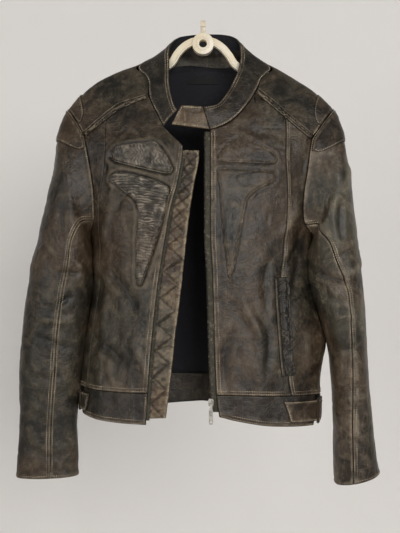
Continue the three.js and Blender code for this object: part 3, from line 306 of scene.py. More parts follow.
def draw_seams(side):
    s = SIDES[side]
    right = side == "right"

    def at(across, z, back=False):
        return place(side, across, z, back)

    top = (0, s["neck_top"])
    if right:
        neck = [top, at(51, -221), at(71, -200), at(86, -170), at(99, -141)]
        yoke = [at(99, -141), at(152, -161), at(176, -181)]
        yoke_end = at(217, -212)
        shoulder = at(102, -105)
        cap = [(1, s["arm_top"]), at(244, -168), at(232, -186), yoke_end]
        arm = [yoke_end, at(210, -244), at(204, -276), at(199, -312), at(198, -341),
               at(199, -366), (1, s["arm_bottom"])]
        back_end = at(226, -216, True)
        arm_back = [(1, s["arm_bottom"]), at(201, -362, True), at(203, -328, True),
                    at(207, -290, True), at(214, -250, True), back_end]
        cap_back = [back_end, at(241, -185, True), (1, s["arm_top"])]
        princess = [at(207, -670), at(200, -600), at(193, -530), at(189, -385), at(180, -280),
                    at(177, -240), yoke[2]]
    else:
        neck = [top, at(38, -198), at(60, -182), at(80, -158), at(97, -130)]
        yoke = [at(97, -130), at(122, -150), at(148, -175)]
        yoke_end = at(198, -217)
        shoulder = at(108, -104)
        cap = [(1, s["arm_top"]), at(235, -168), at(221, -186), yoke_end]
        arm = [yoke_end, at(193, -244), at(189, -276), at(183, -312), at(181, -350),
               at(184, -373), (1, s["arm_bottom"])]
        back_end = at(215, -216, True)
        arm_back = [(1, s["arm_bottom"]), at(190, -362, True), at(193, -328, True),
                    at(198, -290, True), at(205, -250, True), back_end]
        cap_back = [back_end, at(231, -185, True), (1, s["arm_top"])]
        princess = [at(157, -682), at(151, -647), at(144, -565), at(139, -475), at(143, -439),
                    at(147, -386), at(152, -337), at(148.5, -255), yoke[2]]
    neck_front = seam(neck, CELLS["neck"])
    if right:
        neck_front = joined(seam(neck[:3], 3), seam(neck[2:], 3))
    arm_front = seam(arm, CELLS["arm"])
    side_foot = (1, float(s["band_seam"](1)))
    side_seam = seam([side_foot, (1, -520), (1, s["arm_bottom"])], CELLS["side"])
    outer = joined(side_seam, arm_front[::-1])
    shares = (outer[:, 1] - outer[0, 1]) / (outer[-1, 1] - outer[0, 1])
    princess = seam(princess, shares)
    princess[0, 1] = s["band_seam"](princess[0, 0])
    ridge_cells = CELLS["yoke_in"] + CELLS["yoke_out"]
    return {
        "neck_front": neck_front,
        "yoke_in": seam(yoke, CELLS["yoke_in"]),
        "yoke_out": seam([yoke[2], yoke_end], CELLS["yoke_out"]),
        "neck_up": seam([tuple(neck_front[-1]), shoulder, (1, s["neck_ridge"])], CELLS["cap"]),
        "neck_side": seam([(1, s["neck_ridge"]), (1.18, -61), (1.36, -57)], CELLS["cap"]),
        "neck_back": seam([(1.36, -57), (1.7, -53), (2, -52)], CELLS["nape"] // 2),
        "cap_front": seam(cap, CELLS["cap"]),
        "arm_front": arm_front,
        "arm_back": seam(arm_back, CELLS["arm"]),
        "cap_back": seam(cap_back, CELLS["cap"]),
        "yoke_back": seam([(1.36, -57), at(150, -140, True), back_end], ridge_cells),
        "ridge": seam([(1, s["neck_ridge"]), (1, s["arm_top"])], ridge_cells),
        "side_seam": side_seam,
        "outer": outer,
        "princess": princess,
        "front_edge": seam([(0, float(s["band_seam"](0))), (0, s["neck_top"])], shares),
    }


SEAMS = {side: draw_seams(side) for side in SIDES}
print("seams drawn:", sum(len(s) for s in SEAMS.values()))


# %% [markdown]
# ## From four edges to a panel
# A panel lies between four seams. A Coons patch blends them: it is the usual way to fill four
# curves, and its lines run along the seams, so distance from a seam is easy to measure. Rows
# are close together near each edge, where the leather is folded under and stitched.

# %% Panels from seams
def net(low, high, near, far, u, v):
    def read(edge, t):
        edge = np.asarray(edge, float)
        return read_at(t, np.arange(len(edge)) / (len(edge) - 1), edge)

    lo, hi = read(low, u)[None], read(high, u)[None]
    ne, fa = read(near, v)[:, None], read(far, v)[:, None]
    u, v = u[None, :, None], v[:, None, None]
    low, high = np.asarray(low, float), np.asarray(high, float)
    corners = mix(mix(low[0], low[-1], u), mix(high[0], high[-1], u), v)
    return mix(lo, hi, v) + mix(ne, fa, u) - corners


EDGE_GAP = 0.15
RIM = [0, 0.7, 1.6, 2.7, 4.0, 5.6, 7.6, 10.0]


def spread(length, cell, far=True):
    """Shares of a length, close together at the edges."""
    rim = np.array([d for d in RIM if d < 0.38 * length])
    start = EDGE_GAP + rim
    end = length - EDGE_GAP - (rim if far else rim[:1])[::-1]
    between = np.linspace(start[-1], end[0], max(2, int(round((end[0] - start[-1]) / cell)) + 1))
    return np.concatenate([start, between[1:-1], end]) / length


def normals_of(grid, sign):
    along, up = np.gradient(grid, axis=1), np.gradient(grid, axis=0)
    return unit(np.cross(along, up) * sign)


def edge_distances(grid):
    """Distance from each point to the near, far, low and high edge, along the net."""
    across = np.linalg.norm(np.diff(grid, axis=1), axis=-1)
    upward = np.linalg.norm(np.diff(grid, axis=0), axis=-1)
    zero_col, zero_row = np.zeros((grid.shape[0], 1)), np.zeros((1, grid.shape[1]))
    near = np.hstack([zero_col, np.cumsum(across, axis=1)])
    low = np.vstack([zero_row, np.cumsum(upward, axis=0)])
    return {"near": near, "far": near[:, -1:] - near, "low": low, "high": low[-1:] - low}


def nearest(away):
    """The distance from each point to whichever edge is nearest."""
    return np.minimum.reduce(list(away.values()))


print("shares across 20 mm:", spread(20, 4).round(2))

# %% A soft noise, the same on every run
def cloud(points, size, seed=0):
    q = points / np.asarray(size, float) + seed * 7.31
    base = np.floor(q).astype(np.int64)
    f = q - base
    f = f * f * f * (f * (f * 6 - 15) + 10)
    total = 0.0
    for corner in np.ndindex(2, 2, 2):
        k = base + np.array(corner)
        h = (k[..., 0] * 73856093) ^ (k[..., 1] * 19349663) ^ (k[..., 2] * 83492791)
        h = ((h ^ (h >> 13)) * 1274126177) & 0x7FFFFFFF
        value = ((h ^ (h >> 15)) & 0xFFFF) / 65535.0
        weight = np.prod(np.where(np.array(corner) == 1, f, 1 - f), axis=-1)
        total = total + weight * value
    return 2 * total - 1


print("noise range:", cloud(np.random.default_rng(1).random((500, 3)) * 90, 10).round(2)[:3])

# %% [markdown]
# ## Folds, seam relief and the leather shell
# Thick leather doesn't fall in sharp pleats. It keeps long soft troughs where it bends, small
# puckers along each stitched seam, and a low swell between them. Cloth simulation gives thin
# fabric folds, so here each crease is laid one by one, as a soft trough with raised flanks between
# two points of the front or the back, and a quiet noise fills in the rest.

# %% Creases laid one by one: (x, z, x, z, half width, height), in millimetres
FRONT_CREASES = [
    (-170, -455, -118, -560, 13, -2.2), (-196, -430, -150, -520, 12, 1.6),
    (-190, -560, -140, -640, 12, -1.8), (-120, -585, -104, -655, 11, 1.8),
    (-160, -600, -150, -668, 10, 1.6), (-180, -340, -165, -420, 12, 1.4),
    (-150, -215, -110, -212, 9, -1.2), (-130, -300, -150, -360, 9, -1.0),
    (60, -560, 36, -660, 12, -2.0), (95, -540, 120, -655, 14, -2.4),
    (80, -500, 96, -590, 14, 2.2), (130, -440, 100, -540, 13, -1.8),
    (170, -380, 140, -470, 12, -2.0), (165, -330, 150, -410, 12, 1.8),
    (185, -400, 176, -560, 10, -2.2), (205, -560, 180, -650, 12, 1.8),
    (120, -210, 70, -200, 10, -1.2), (40, -330, 60, -430, 12, 1.0),
    (-164, -388, -132, -402, 4, 1.0), (-166, -404, -130, -416, 4, -1.0),
    (-158, -420, -134, -440, 4, 1.0), (-150, -372, -136, -392, 4, 0.9),
    (-120, -300, -128, -350, 8, -1.2), (-170, -250, -176, -340, 9, 1.4),
    (-262, -470, -215, -452, 8, -2.0), (-285, -520, -228, -505, 8, -2.4),
    (-300, -555, -240, -540, 8, 2.0), (-300, -585, -236, -590, 7, -2.2),
    (-310, -640, -250, -655, 9, -1.6), (-300, -400, -250, -430, 10, 1.8),
    (-262, -330, -240, -400, 12, -1.8), (-325, -700, -260, -715, 9, 1.4),
    (-330, -770, -250, -790, 9, -1.4), (-232, -440, -214, -480, 7, 1.8),
    (212, -455, 262, -492, 8, -2.4), (216, -485, 270, -512, 7, 2.2),
    (220, -510, 276, -524, 7, -2.4), (226, -545, 280, -548, 8, 1.8),
    (262, -330, 236, -410, 12, -2.0), (290, -430, 262, -470, 10, 1.8),
    (240, -610, 292, -590, 9, -1.6), (250, -680, 300, -690, 9, 1.4),
    (252, -770, 308, -780, 9, -1.4), (280, -260, 255, -330, 12, 1.6),
]
BACK_CREASES = [
    (-150, -300, -60, -380, 14, -2.0), (150, -300, 60, -380, 14, -2.0),
    (-170, -430, -90, -520, 13, 1.8), (165, -430, 90, -520, 13, 1.8),
    (-60, -560, -40, -650, 12, -2.0), (70, -550, 50, -650, 12, -1.8),
    (-120, -600, -130, -660, 12, 1.8), (130, -590, 120, -660, 12, 1.8),
    (-100, -180, 90, -186, 14, -1.4), (0, -230, 10, -420, 16, -1.2),
    (-290, -500, -232, -520, 9, -2.4), (-295, -545, -232, -550, 9, 2.0),
    (-262, -330, -240, -410, 12, -2.0), (285, -490, 228, -505, 9, -2.4),
    (290, -535, 232, -540, 9, 2.0), (262, -330, 236, -410, 12, -2.0),
    (-320, -700, -256, -712, 9, -1.6), (306, -690, 252, -700, 9, -1.6),
]
print("creases:", len(FRONT_CREASES), "in front and", len(BACK_CREASES), "behind")


# %% Folds of a patch of leather
def laid_creases(points, creases):
    """The height that the creases give: each is a wavy trough with raised flanks, deepest in
    its middle."""
    x, z = points[..., 0], points[..., 2]
    total = np.zeros(x.shape)
    for x0, z0, x1, z1, wide, high in creases:
        span = np.array([x1 - x0, z1 - z0])
        length = np.hypot(*span)
        t = ((x - x0) * span[0] + (z - z0) * span[1]) / length ** 2
        off = ((x - x0) * span[1] - (z - z0) * span[0]) / length
        off = off + 0.12 * length * np.sin(3.1 * t + x0)
        q = np.square(off / wide)
        total += 1.9 * high * (1 - 0.9 * q) * np.exp(-q) * np.exp(-np.abs(2 * t - 1) ** 3 * 1.6)
    return total


def folds(points, normals, swell):
    ahead = ease(0.5 - 1.6 * normals[..., 1])
    laid = laid_creases(points, FRONT_CREASES) * ahead
    laid += laid_creases(points, BACK_CREASES) * (1 - ahead)
    broad = 1.5 * cloud(points, (56, 60, 74), 3) + 0.8 * cloud(points, (24, 26, 30), 5)
    veins = bump(cloud(points, (30, 36, 22), 8) / 0.12) * ease(1.5 + 3 * cloud(points, 60, 2))
    fine = 0.35 * cloud(points, (11, 12, 10), 14)
    return laid + swell * (broad - 0.8 * veins + fine)


def seam_relief(distance, rows, pucker, groove):
    """The height of a turned edge at a distance from it: a groove at the seam, a puckered rise
    behind it, and a line pressed in by each row of stitches."""
    relief = -groove * bump(distance / 1.1)
    if rows:
        raised = ease((max(rows) + 4.5 - distance) / 3.5) * ease(distance / 2)
        relief = relief + raised * (0.75 + 0.8 * pucker)
        for row in rows:
            relief = relief - 0.45 * bump(distance - row)
    return relief


print("a stitched edge:", seam_relief(np.array([0.0, 3.0, 9.0]), (3.0,), 0.0, 0.75).round(2))

# %% Closed walls, pieces and their marks
SKINS = {}
STITCH_LINES = []
STITCH_PITCH = 4.2
INNER_RIM = 30.0  # added to the rim mark of an inner wall
STILL_EDGE = 14.0  # the folds die out over this distance from a plain edge
FACING_WIDTH = 14.0  # the leather turned in along a faced edge


def cells_of(index):
    """The faces of a net, from the numbers of its points."""
    corners = (index[:-1, :-1], index[:-1, 1:], index[1:, 1:], index[1:, :-1])
    return np.stack(corners, -1).reshape(-1, 4)


def wall_faces(rows, cols, flip):
    n = rows * cols
    index = np.arange(n).reshape(rows, cols)
    top = cells_of(index)
    rim = np.concatenate([index[0], index[1:, -1], index[-1, -2::-1], index[-2:0:-1, 0]])
    after = np.roll(rim, -1)
    edge = np.stack([rim, rim + n, after + n, after], -1)
    faces = np.vstack([top, top[:, ::-1] + n, edge])
    return faces[:, ::-1] if flip else faces


def make_piece(name, points, faces, material, marks=None, smooth=True):
    mesh = bpy.data.meshes.new(f"{name}_shell")
    faces = faces if isinstance(faces, list) else faces.tolist()
    mesh.from_pydata((np.asarray(points) * MM).tolist(), [], faces)
    for mark, values in (marks or {}).items():
        layer = mesh.attributes.new(mark, "FLOAT", "POINT")
        layer.data.foreach_set("value", np.asarray(values, np.float32).ravel())
    mesh.polygons.foreach_set("use_smooth", [smooth] * len(mesh.polygons))
    mesh.update()
    piece = bpy.data.objects.new(f"{name}_shell", mesh)
    bpy.context.scene.collection.objects.link(piece)
    if material:
        mesh.materials.append(material)
    return piece


def walled(name, outer, inner, sign, material, rim, crest):
    """A closed wall between two nets, with the marks that its wear, its painted highlights and its
    painted shade read. The inner net counts as far from any edge and as flat."""
    marks = {"rim": np.concatenate([rim.ravel(), rim.ravel() + INNER_RIM]),
             "crest": np.concatenate([crest.ravel(), crest.ravel() * 0])}
    points = np.vstack([outer.reshape(-1, 3), inner.reshape(-1, 3)])
    faces = wall_faces(*outer.shape[:2], flip=sign < 0)
    return make_piece(name, points, faces, material, marks)


def dressed(piece, slot, *nodes):
    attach(piece, "garment")
    if nodes:
        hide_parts(*nodes)
    return piece


print("faces of a wall on a net of 3 by 4 points:", len(wall_faces(3, 4, False)))


# %% Sheets as they are cut, and lines beside their edges
SMALLEST_SIDE = 0.011


def cut_as_sheet(grid):
    """The size of a piece's flat cut: its longest row and column, and its area."""
    across = np.linalg.norm(np.diff(grid, axis=1), axis=-1).sum(1).max() * MM
    upward = np.linalg.norm(np.diff(grid, axis=0), axis=-1).sum(0).max() * MM
    sides = np.cross(grid[1:, 1:] - grid[:-1, :-1], grid[1:, :-1] - grid[:-1, 1:])
    area = 0.5 * np.linalg.norm(sides, axis=-1).sum() * MM * MM
    across, upward = max(across, SMALLEST_SIDE), max(upward, SMALLEST_SIDE)
    area = min(max(area, 0.31 * across * upward), across * upward)
    return round(across, 3), round(upward, 3), round(area, 4)


def line_on(grid, normals, edge, distance, trim):
    """A line on a built sheet, at a distance from one of its edges."""
    if edge in ("near", "far"):
        grid, normals = grid.transpose(1, 0, 2), normals.transpose(1, 0, 2)
    if edge in ("far", "high"):
        grid, normals = grid[::-1], normals[::-1]
    run = np.vstack([np.zeros((1, grid.shape[1])),
                     np.cumsum(np.linalg.norm(np.diff(grid, axis=0), axis=-1), axis=0)])
    columns = range(grid.shape[1])
    points = np.array([read_at(distance, run[:, j], grid[:, j]) for j in columns])
    aims = np.array([read_at(distance, run[:, j], normals[:, j]) for j in columns])
    along = run_of(points)
    keep = (along >= trim) & (along <= along[-1] - trim)
    return points[keep], aims[keep]


print("sheets are declared at least", 1000 * SMALLEST_SIDE, "mm wide")


# %% A leather sheet, from its net
def leather_sheet(name, grid, sign, material, slot, thickness=2.0, lift=0.0, sewn=None,
                  swell=1.0, plain=(), u=None, v=None, extra=None,
                  lined=False, groove=0.75, faced=()):
    """A fine leather shell. sewn names the edges with rows of stitches, and plain the edges
    that keep their line, where other panels meet them at an angle. A lined shell has the
    lining on its inner wall, but for a facing of its own leather along the faced edges, and
    extra is a relief that the piece has of its own."""
    sewn = sewn or {}
    normals = normals_of(grid, sign)
    away = edge_distances(grid)
    height = folds(grid, normals, swell) if swell else np.zeros(grid.shape[:2])
    for edge in plain:
        height = height * ease(away[edge] / STILL_EDGE)
    pucker = cloud(grid, (11, 11, 9), 12)
    relief = sum(seam_relief(away[edge], sewn.get(edge, ()), pucker, groove)
                 for edge in ("near", "far", "low", "high"))
    if extra is not None:
        relief = relief + extra
    outer = grid + normals * (lift + height + relief)[..., None]
    inner = grid + normals * (lift - thickness + 0.8 * height)[..., None]
    inner[[0, -1]] += normals[[0, -1]] * 0.3  # skived a little thinner at the ends
    rim = np.minimum.reduce([
        away[e] if e in sewn else np.where(away[e] < 1.3, away[e], away[e] + 8)
        for e in ("near", "far", "low", "high")])
    if groove < 0.5:
        rim = rim + 0.9  # a shallow seam gets less painted shade
    # The crest mark: raised puckers and fold tops are painted paler, partly rubbed wear and partly
    # painted highlight, and seam grooves and fold troughs get painted shade.
    crest = relief + 0.32 * height + 0.5 * cloud(grid, (9, 9, 9), 4)
    piece = walled(name, outer, inner, sign, material, rim, crest)
    if lined:
        piece.data.materials.append(LINING)
        count = (grid.shape[0] - 1) * (grid.shape[1] - 1)
        inside = np.zeros(len(piece.data.polygons), np.int32)
        within = np.minimum.reduce([np.full(rim.shape, np.inf)] + [away[edge] for edge in faced])
        inside[count:2 * count] = (within[:-1, :-1] > FACING_WIDTH).ravel()
        piece.data.polygons.foreach_set("material_index", inside)
    dressed(piece, slot, name)
    size = cut_as_sheet(grid)
    SKINS[name] = (outer, normals_of(outer, sign), u, v)
    for edge, rows in sewn.items():
        for row in rows:
            STITCH_LINES.append(line_on(outer, normals, edge, row, 3))
    print(name, "cut", size, "points", len(piece.data.vertices))


print("stitches in a row lie", STITCH_PITCH, "mm apart")


# %% [markdown]
# ## Finishes
# Old leather is dark where the dye has stayed, and paler where it has rubbed: along turned
# edges, on the tops of folds and in soft clouds between them. The tops of folds are also made
# paler as a painted highlight, and the seam grooves and the troughs of folds are darkened as
# painted shade. One shader group gives that wear and that painted light from noise and from two
# marks that each piece carries: how far a point is from the nearest edge, and how high it
# stands. Each leather sets its own colours on the group. Bumps are in millimetres, so every
# height has its real size.

# %% A short way to place nodes
def place_node(tree, kind, inputs=None, **settings):
    node = tree.nodes.new(kind)
    for key, value in settings.items():
        setattr(node, key, value)
    for key, value in (inputs or {}).items():
        if isinstance(value, bpy.types.NodeSocket):
            tree.links.new(value, node.inputs[key])
        else:
            node.inputs[key].default_value = value
    return node


def sums(tree, kind, *values):
    node = place_node(tree, "ShaderNodeMath", dict(enumerate(values)), operation=kind)
    return node.outputs[0]


def ramped(tree, value, low, high, start=0.0, end=1.0):
    """The value from low to high, eased to run from start to end."""
    node = place_node(tree, "ShaderNodeMapRange", {
        "Value": value, "From Min": low, "From Max": high, "To Min": start, "To Max": end},
        interpolation_type="SMOOTHSTEP")
    return node.outputs["Result"]


def blended(tree, share, first, second, kind="MIX"):
    node = place_node(tree, "ShaderNodeMix", {0: share, 6: first, 7: second},
                      data_type="RGBA", blend_type=kind)
    return node.outputs[2]


def noise(tree, where, scale, detail, rough=0.6, warp=0.0):
    node = place_node(tree, "ShaderNodeTexNoise", {
        "Vector": where, "Scale": scale, "Detail": detail, "Roughness": rough,
        "Distortion": warp})
    return node.outputs["Fac"]


def stretched(tree, where, scale, turn=(0, 0, 0)):
    node = place_node(tree, "ShaderNodeMapping", {
        "Vector": where, "Scale": scale, "Rotation": [np.radians(t) for t in turn]})
    return node.outputs["Vector"]


def in_object(tree):
    """The place of a point in its object, in metres."""
    return place_node(tree, "ShaderNodeTexCoord").outputs["Object"]


def mark(tree, name):
    return place_node(tree, "ShaderNodeAttribute", attribute_name=name).outputs["Fac"]


def new_group(name, inputs, outputs):
    tree = bpy.data.node_groups.new(name, "ShaderNodeTree")
    for direction, sockets in (("INPUT", inputs), ("OUTPUT", outputs)):
        for socket, kind, value in sockets:
            made = tree.interface.new_socket(
                socket, in_out=direction, socket_type=f"NodeSocket{kind}")
            if value is not None:
                made.default_value = value
    start = tree.nodes.new("NodeGroupInput")
    end = tree.nodes.new("NodeGroupOutput")
    return tree, start.outputs, end.inputs


print("node helpers ready")

# %% The wear of old leather, with painted highlights and shade, as a group
# Faded is the pale colour of worn patches, and high places also take it as a painted highlight.
# Fading sets how much of it is laid on, worn patches and painted highlight alike.
leather_group, given, out = new_group(
    "leather_wear_and_painted_light",
    [("Deep", "Color", (0.0088, 0.0073, 0.0056, 1)), ("Body", "Color", (0.044, 0.0335, 0.0225, 1)),
     ("Faded", "Color", (0.15, 0.118, 0.080, 1)), ("Bare", "Color", (0.28, 0.225, 0.155, 1)),
     ("Fading", "Float", 0.5), ("Edge Wear", "Float", 0.6), ("Creasing", "Float", 1.0)],
    [("Color", "Color", None), ("Roughness", "Float", None), ("Height", "Float", None)])
t = leather_group
where = in_object(t)
rim, crest = mark(t, "rim"), mark(t, "crest")
clouds = ramped(t, noise(t, where, 8, 5, 0.6, 0.6), 0.40, 0.62)
blots = ramped(t, noise(t, where, 24, 7, 0.72, 0.9), 0.42, 0.63)
spots = ramped(t, noise(t, where, 95, 6, 0.75, 0.4), 0.44, 0.66)
streaks = stretched(t, where, (46, 46, 15), (0, 14, 0))
rubs = ramped(t, noise(t, streaks, 1.0, 6, 0.7, 0.5), 0.48, 0.68)
flecks = ramped(t, noise(t, where, 330, 3, 0.8), 0.57, 0.66)
hairlines = stretched(t, where, (420, 420, 26), (0, 24, 0))
scratches = ramped(t, noise(t, hairlines, 1.0, 2, 0.6), 0.62, 0.70)
drift = place_node(t, "ShaderNodeTexNoise", {"Vector": where, "Scale": 38, "Detail": 3})
drift = place_node(t, "ShaderNodeVectorMath", {0: drift.outputs["Color"], 3: 0.022},
                   operation="SCALE")
warped = place_node(t, "ShaderNodeVectorMath", {0: where, 1: drift.outputs[0]},
                    operation="ADD").outputs[0]
net_of_creases = place_node(t, "ShaderNodeTexVoronoi", {
    "Vector": stretched(t, warped, (52, 52, 82)), "Scale": 1.0, "Randomness": 1.0},
    feature="DISTANCE_TO_EDGE").outputs["Distance"]
creases = ramped(t, net_of_creases, 0.0, 0.11, 1.0, 0.0)
creases = sums(t, "MULTIPLY", creases, ramped(t, noise(t, where, 17, 3, 0.6), 0.44, 0.6))
# The crest mark: high places are painted paler below, partly rubbed wear and partly painted
# highlight, and low places get painted shade.
high = ramped(t, crest, 0.15, 1.7)
low = ramped(t, crest, -0.15, -1.5)
turned_edge = sums(t, "MULTIPLY", ramped(t, rim, 0.3, 1.6), ramped(t, rim, 2.4, 6.5, 1.0, 0.0))
# Painted shade in the seam groove, within about a millimetre of an edge.
seam_groove_shade = ramped(t, rim, 0.1, 1.3, 1.0, 0.0)

body_share = sums(t, "MULTIPLY_ADD", clouds, 0.55, sums(t, "MULTIPLY", blots, 0.45))
colour = blended(t, body_share, given["Deep"], given["Body"])
tints = ramped(t, noise(t, where, 5.5, 3, 0.5), 0.40, 0.60)
tint = blended(t, tints, (1.2, 0.98, 0.82, 1), (0.9, 1.0, 0.95, 1))
colour = blended(t, 1.0, colour, tint, "MULTIPLY")
fade_and_crest_highlight = sums(t, "MULTIPLY_ADD", blots, 0.45, sums(t, "MULTIPLY", rubs, 0.45))
fade_and_crest_highlight = sums(t, "MULTIPLY", fade_and_crest_highlight, sums(t, "MULTIPLY_ADD", spots, 0.8, 0.25))
# High places take the faded colour, partly as rubbed wear and partly as a painted highlight.
fade_and_crest_highlight = sums(t, "MULTIPLY_ADD", high, 0.6, fade_and_crest_highlight)
fade_and_crest_highlight = sums(t, "MULTIPLY_ADD", creases, 0.14, fade_and_crest_highlight)
fade_and_crest_highlight = sums(t, "MINIMUM", sums(t, "MULTIPLY", fade_and_crest_highlight, given["Fading"]), 1.0)
colour = blended(t, fade_and_crest_highlight, colour, given["Faded"])
bare = sums(t, "MULTIPLY", turned_edge, sums(t, "MULTIPLY_ADD", spots, 0.95, 0.1))
bare = sums(t, "MULTIPLY_ADD", flecks, sums(t, "MULTIPLY_ADD", blots, 0.35, 0.05), bare)
bare = sums(t, "MULTIPLY_ADD", scratches, sums(t, "MULTIPLY", clouds, 0.4), bare)
bare = sums(t, "MULTIPLY", bare, given["Edge Wear"])
colour = blended(t, sums(t, "MINIMUM", bare, 1.0), colour, given["Bare"])
# Painted shade: the colour is darkened in the seam grooves and where the crest mark is low, in the
# troughs of folds and grooves.
shade = sums(t, "MULTIPLY_ADD", seam_groove_shade, -0.62, 1.0)
shade = sums(t, "MULTIPLY", shade, sums(t, "MULTIPLY_ADD", low, -0.6, 1.0))
grey = place_node(t, "ShaderNodeCombineColor", {0: shade, 1: shade, 2: shade}).outputs[0]
colour = blended(t, 1.0, colour, grey, "MULTIPLY")
t.links.new(colour, out["Color"])

rough = sums(t, "MULTIPLY_ADD", fade_and_crest_highlight, 0.12, 0.36)
rough = sums(t, "MULTIPLY_ADD", spots, 0.1, rough)
t.links.new(sums(t, "MULTIPLY_ADD", bare, 0.12, rough), out["Roughness"])

pebbles = place_node(t, "ShaderNodeTexVoronoi", {"Vector": where, "Scale": 620},
                     feature="SMOOTH_F1").outputs["Distance"]
grain = sums(t, "MULTIPLY", pebbles, -0.07)
fine = sums(t, "MULTIPLY", noise(t, where, 240, 4, 0.65), 0.22)
wrinkle = sums(t, "MULTIPLY", noise(t, where, 52, 7, 0.68, 0.35), 1.5)
pulls = noise(t, stretched(t, where, (150, 150, 34), (0, 18, 0)), 1.0, 4, 0.6, 0.3)
wrinkle = sums(t, "MULTIPLY_ADD", pulls, 0.5, wrinkle)
height = sums(t, "ADD", sums(t, "ADD", grain, fine), wrinkle)
height = sums(t, "MULTIPLY_ADD", creases, -0.25, height)
t.links.new(sums(t, "MULTIPLY", height, given["Creasing"]), out["Height"])
print("leather group nodes:", len(t.nodes))

# %% Woven cloth, as a group
cloth_group, given, out = new_group(
    "woven_cloth",
    [("Thread Dark", "Color", (0.004, 0.004, 0.006, 1)),
     ("Thread Pale", "Color", (0.012, 0.013, 0.022, 1)),
     ("Threads", "Float", 900.0), ("Dust", "Float", 0.1)],
    [("Color", "Color", None), ("Height", "Float", None)])
t = cloth_group
where = in_object(t)
warp = place_node(t, "ShaderNodeTexWave", {"Vector": where, "Scale": given["Threads"]},
                  bands_direction="X").outputs["Fac"]
weft = place_node(t, "ShaderNodeTexWave", {"Vector": where, "Scale": given["Threads"]},
                  bands_direction="Z").outputs["Fac"]
weave = sums(t, "MULTIPLY", warp, weft)
colour = blended(t, weave, given["Thread Dark"], given["Thread Pale"])
dust = sums(t, "MULTIPLY", ramped(t, noise(t, where, 160, 5, 0.8), 0.52, 0.68), given["Dust"])
colour = blended(t, dust, colour, (0.3, 0.27, 0.21, 1))
t.links.new(colour, out["Color"])
t.links.new(sums(t, "MULTIPLY", weave, 0.12), out["Height"])
print("cloth group nodes:", len(t.nodes))


# %% Materials made from the groups
def new_material(name, roughness, metallic=0.0):
    material = bpy.data.materials.new(name)
    material.use_nodes = True
    tree = material.node_tree
    shader = tree.nodes["Principled BSDF"]
    shader.inputs["Roughness"].default_value = roughness
    shader.inputs["Metallic"].default_value = metallic
    return material, tree, shader


def bumped(tree, shader, height):
    bump_node = place_node(tree, "ShaderNodeBump", {"Height": height, "Strength": 1.0,
                                                    "Distance": 0.001})
    tree.links.new(bump_node.outputs["Normal"], shader.inputs["Normal"])


def coloured(tree, shader, share, first, second):
    """Give a shader a base colour that runs from the first colour to the second."""
    tree.links.new(blended(tree, share, (*first, 1), (*second, 1)), shader.inputs["Base Color"])


def from_group(name, roughness, shared, values):
    """A material whose colour and bump come from a shared group, with values of its own."""
    material, tree, shader = new_material(name, roughness)
    group = tree.nodes.new("ShaderNodeGroup")
    group.node_tree = shared
    for key, value in values.items():
        value = (*value, 1) if isinstance(value, tuple) else value
        group.inputs[key.replace("_", " ")].default_value = value
    tree.links.new(group.outputs["Color"], shader.inputs["Base Color"])
    bumped(tree, shader, group.outputs["Height"])
    return material, tree, shader, group


def leather(name, **values):
    material, tree, shader, group = from_group(name, 0.5, leather_group, values)
    shader.inputs["Specular IOR Level"].default_value = 0.32
    tree.links.new(group.outputs["Roughness"], shader.inputs["Roughness"])
    return material


def woven(name, dark, pale, threads, dust):
    values = {"Thread Dark": dark, "Thread Pale": pale, "Threads": threads, "Dust": dust}
    return from_group(name, 0.85, cloth_group, values)[0]


WORN_LEATHER = leather("worn_leather", Fading=0.7, Edge_Wear=0.34)
PAD_LEATHER = leather("pad_leather", Deep=(0.020, 0.017, 0.014), Body=(0.06, 0.05, 0.04),
                      Faded=(0.29, 0.25, 0.2), Fading=0.9, Edge_Wear=0.3, Creasing=0.6)
SMOOTH_PAD = leather("smooth_pad", Body=(0.047, 0.037, 0.026), Fading=0.7, Edge_Wear=0.5)
BAND_LEATHER = leather("band_leather", Deep=(0.005, 0.0042, 0.0033), Body=(0.021, 0.0165, 0.0125),
                       Faded=(0.11, 0.09, 0.067), Fading=0.5, Edge_Wear=0.45)
PALER_SLEEVE_LEATHER = leather("paler_sleeve_leather", Deep=(0.018, 0.015, 0.0115), Body=(0.078, 0.062, 0.044),
                         Faded=(0.22, 0.185, 0.135), Fading=0.9, Edge_Wear=0.35)
STRIP_LEATHER = leather("strip_leather", Deep=(0.010, 0.0075, 0.005), Body=(0.04, 0.03, 0.019),
                        Faded=(0.24, 0.19, 0.125), Bare=(0.36, 0.29, 0.2), Fading=0.9,
                        Edge_Wear=0.2)
RUBBED_LEATHER = leather("rubbed_leather", Deep=(0.022, 0.016, 0.010), Body=(0.08, 0.057, 0.034),
                         Faded=(0.2, 0.155, 0.1), Bare=(0.37, 0.31, 0.21), Fading=0.8,
                         Edge_Wear=0.7)
STRAP_LEATHER = leather("strap_leather", Deep=(0.012, 0.009, 0.006), Body=(0.055, 0.041, 0.029),
                        Faded=(0.16, 0.125, 0.09), Fading=0.8, Edge_Wear=0.6)
LINING = woven("lining", (0.003, 0.003, 0.005), (0.011, 0.012, 0.022), 700.0, 0.03)
LABEL = woven("label_weave", (0.003, 0.003, 0.003), (0.01, 0.01, 0.012), 1400.0, 0.03)
ZIP_TAPE = woven("zip_tape", (0.02, 0.018, 0.012), (0.11, 0.1, 0.066), 1100.0, 0.5)
print("leathers and cloths:", len(bpy.data.materials))

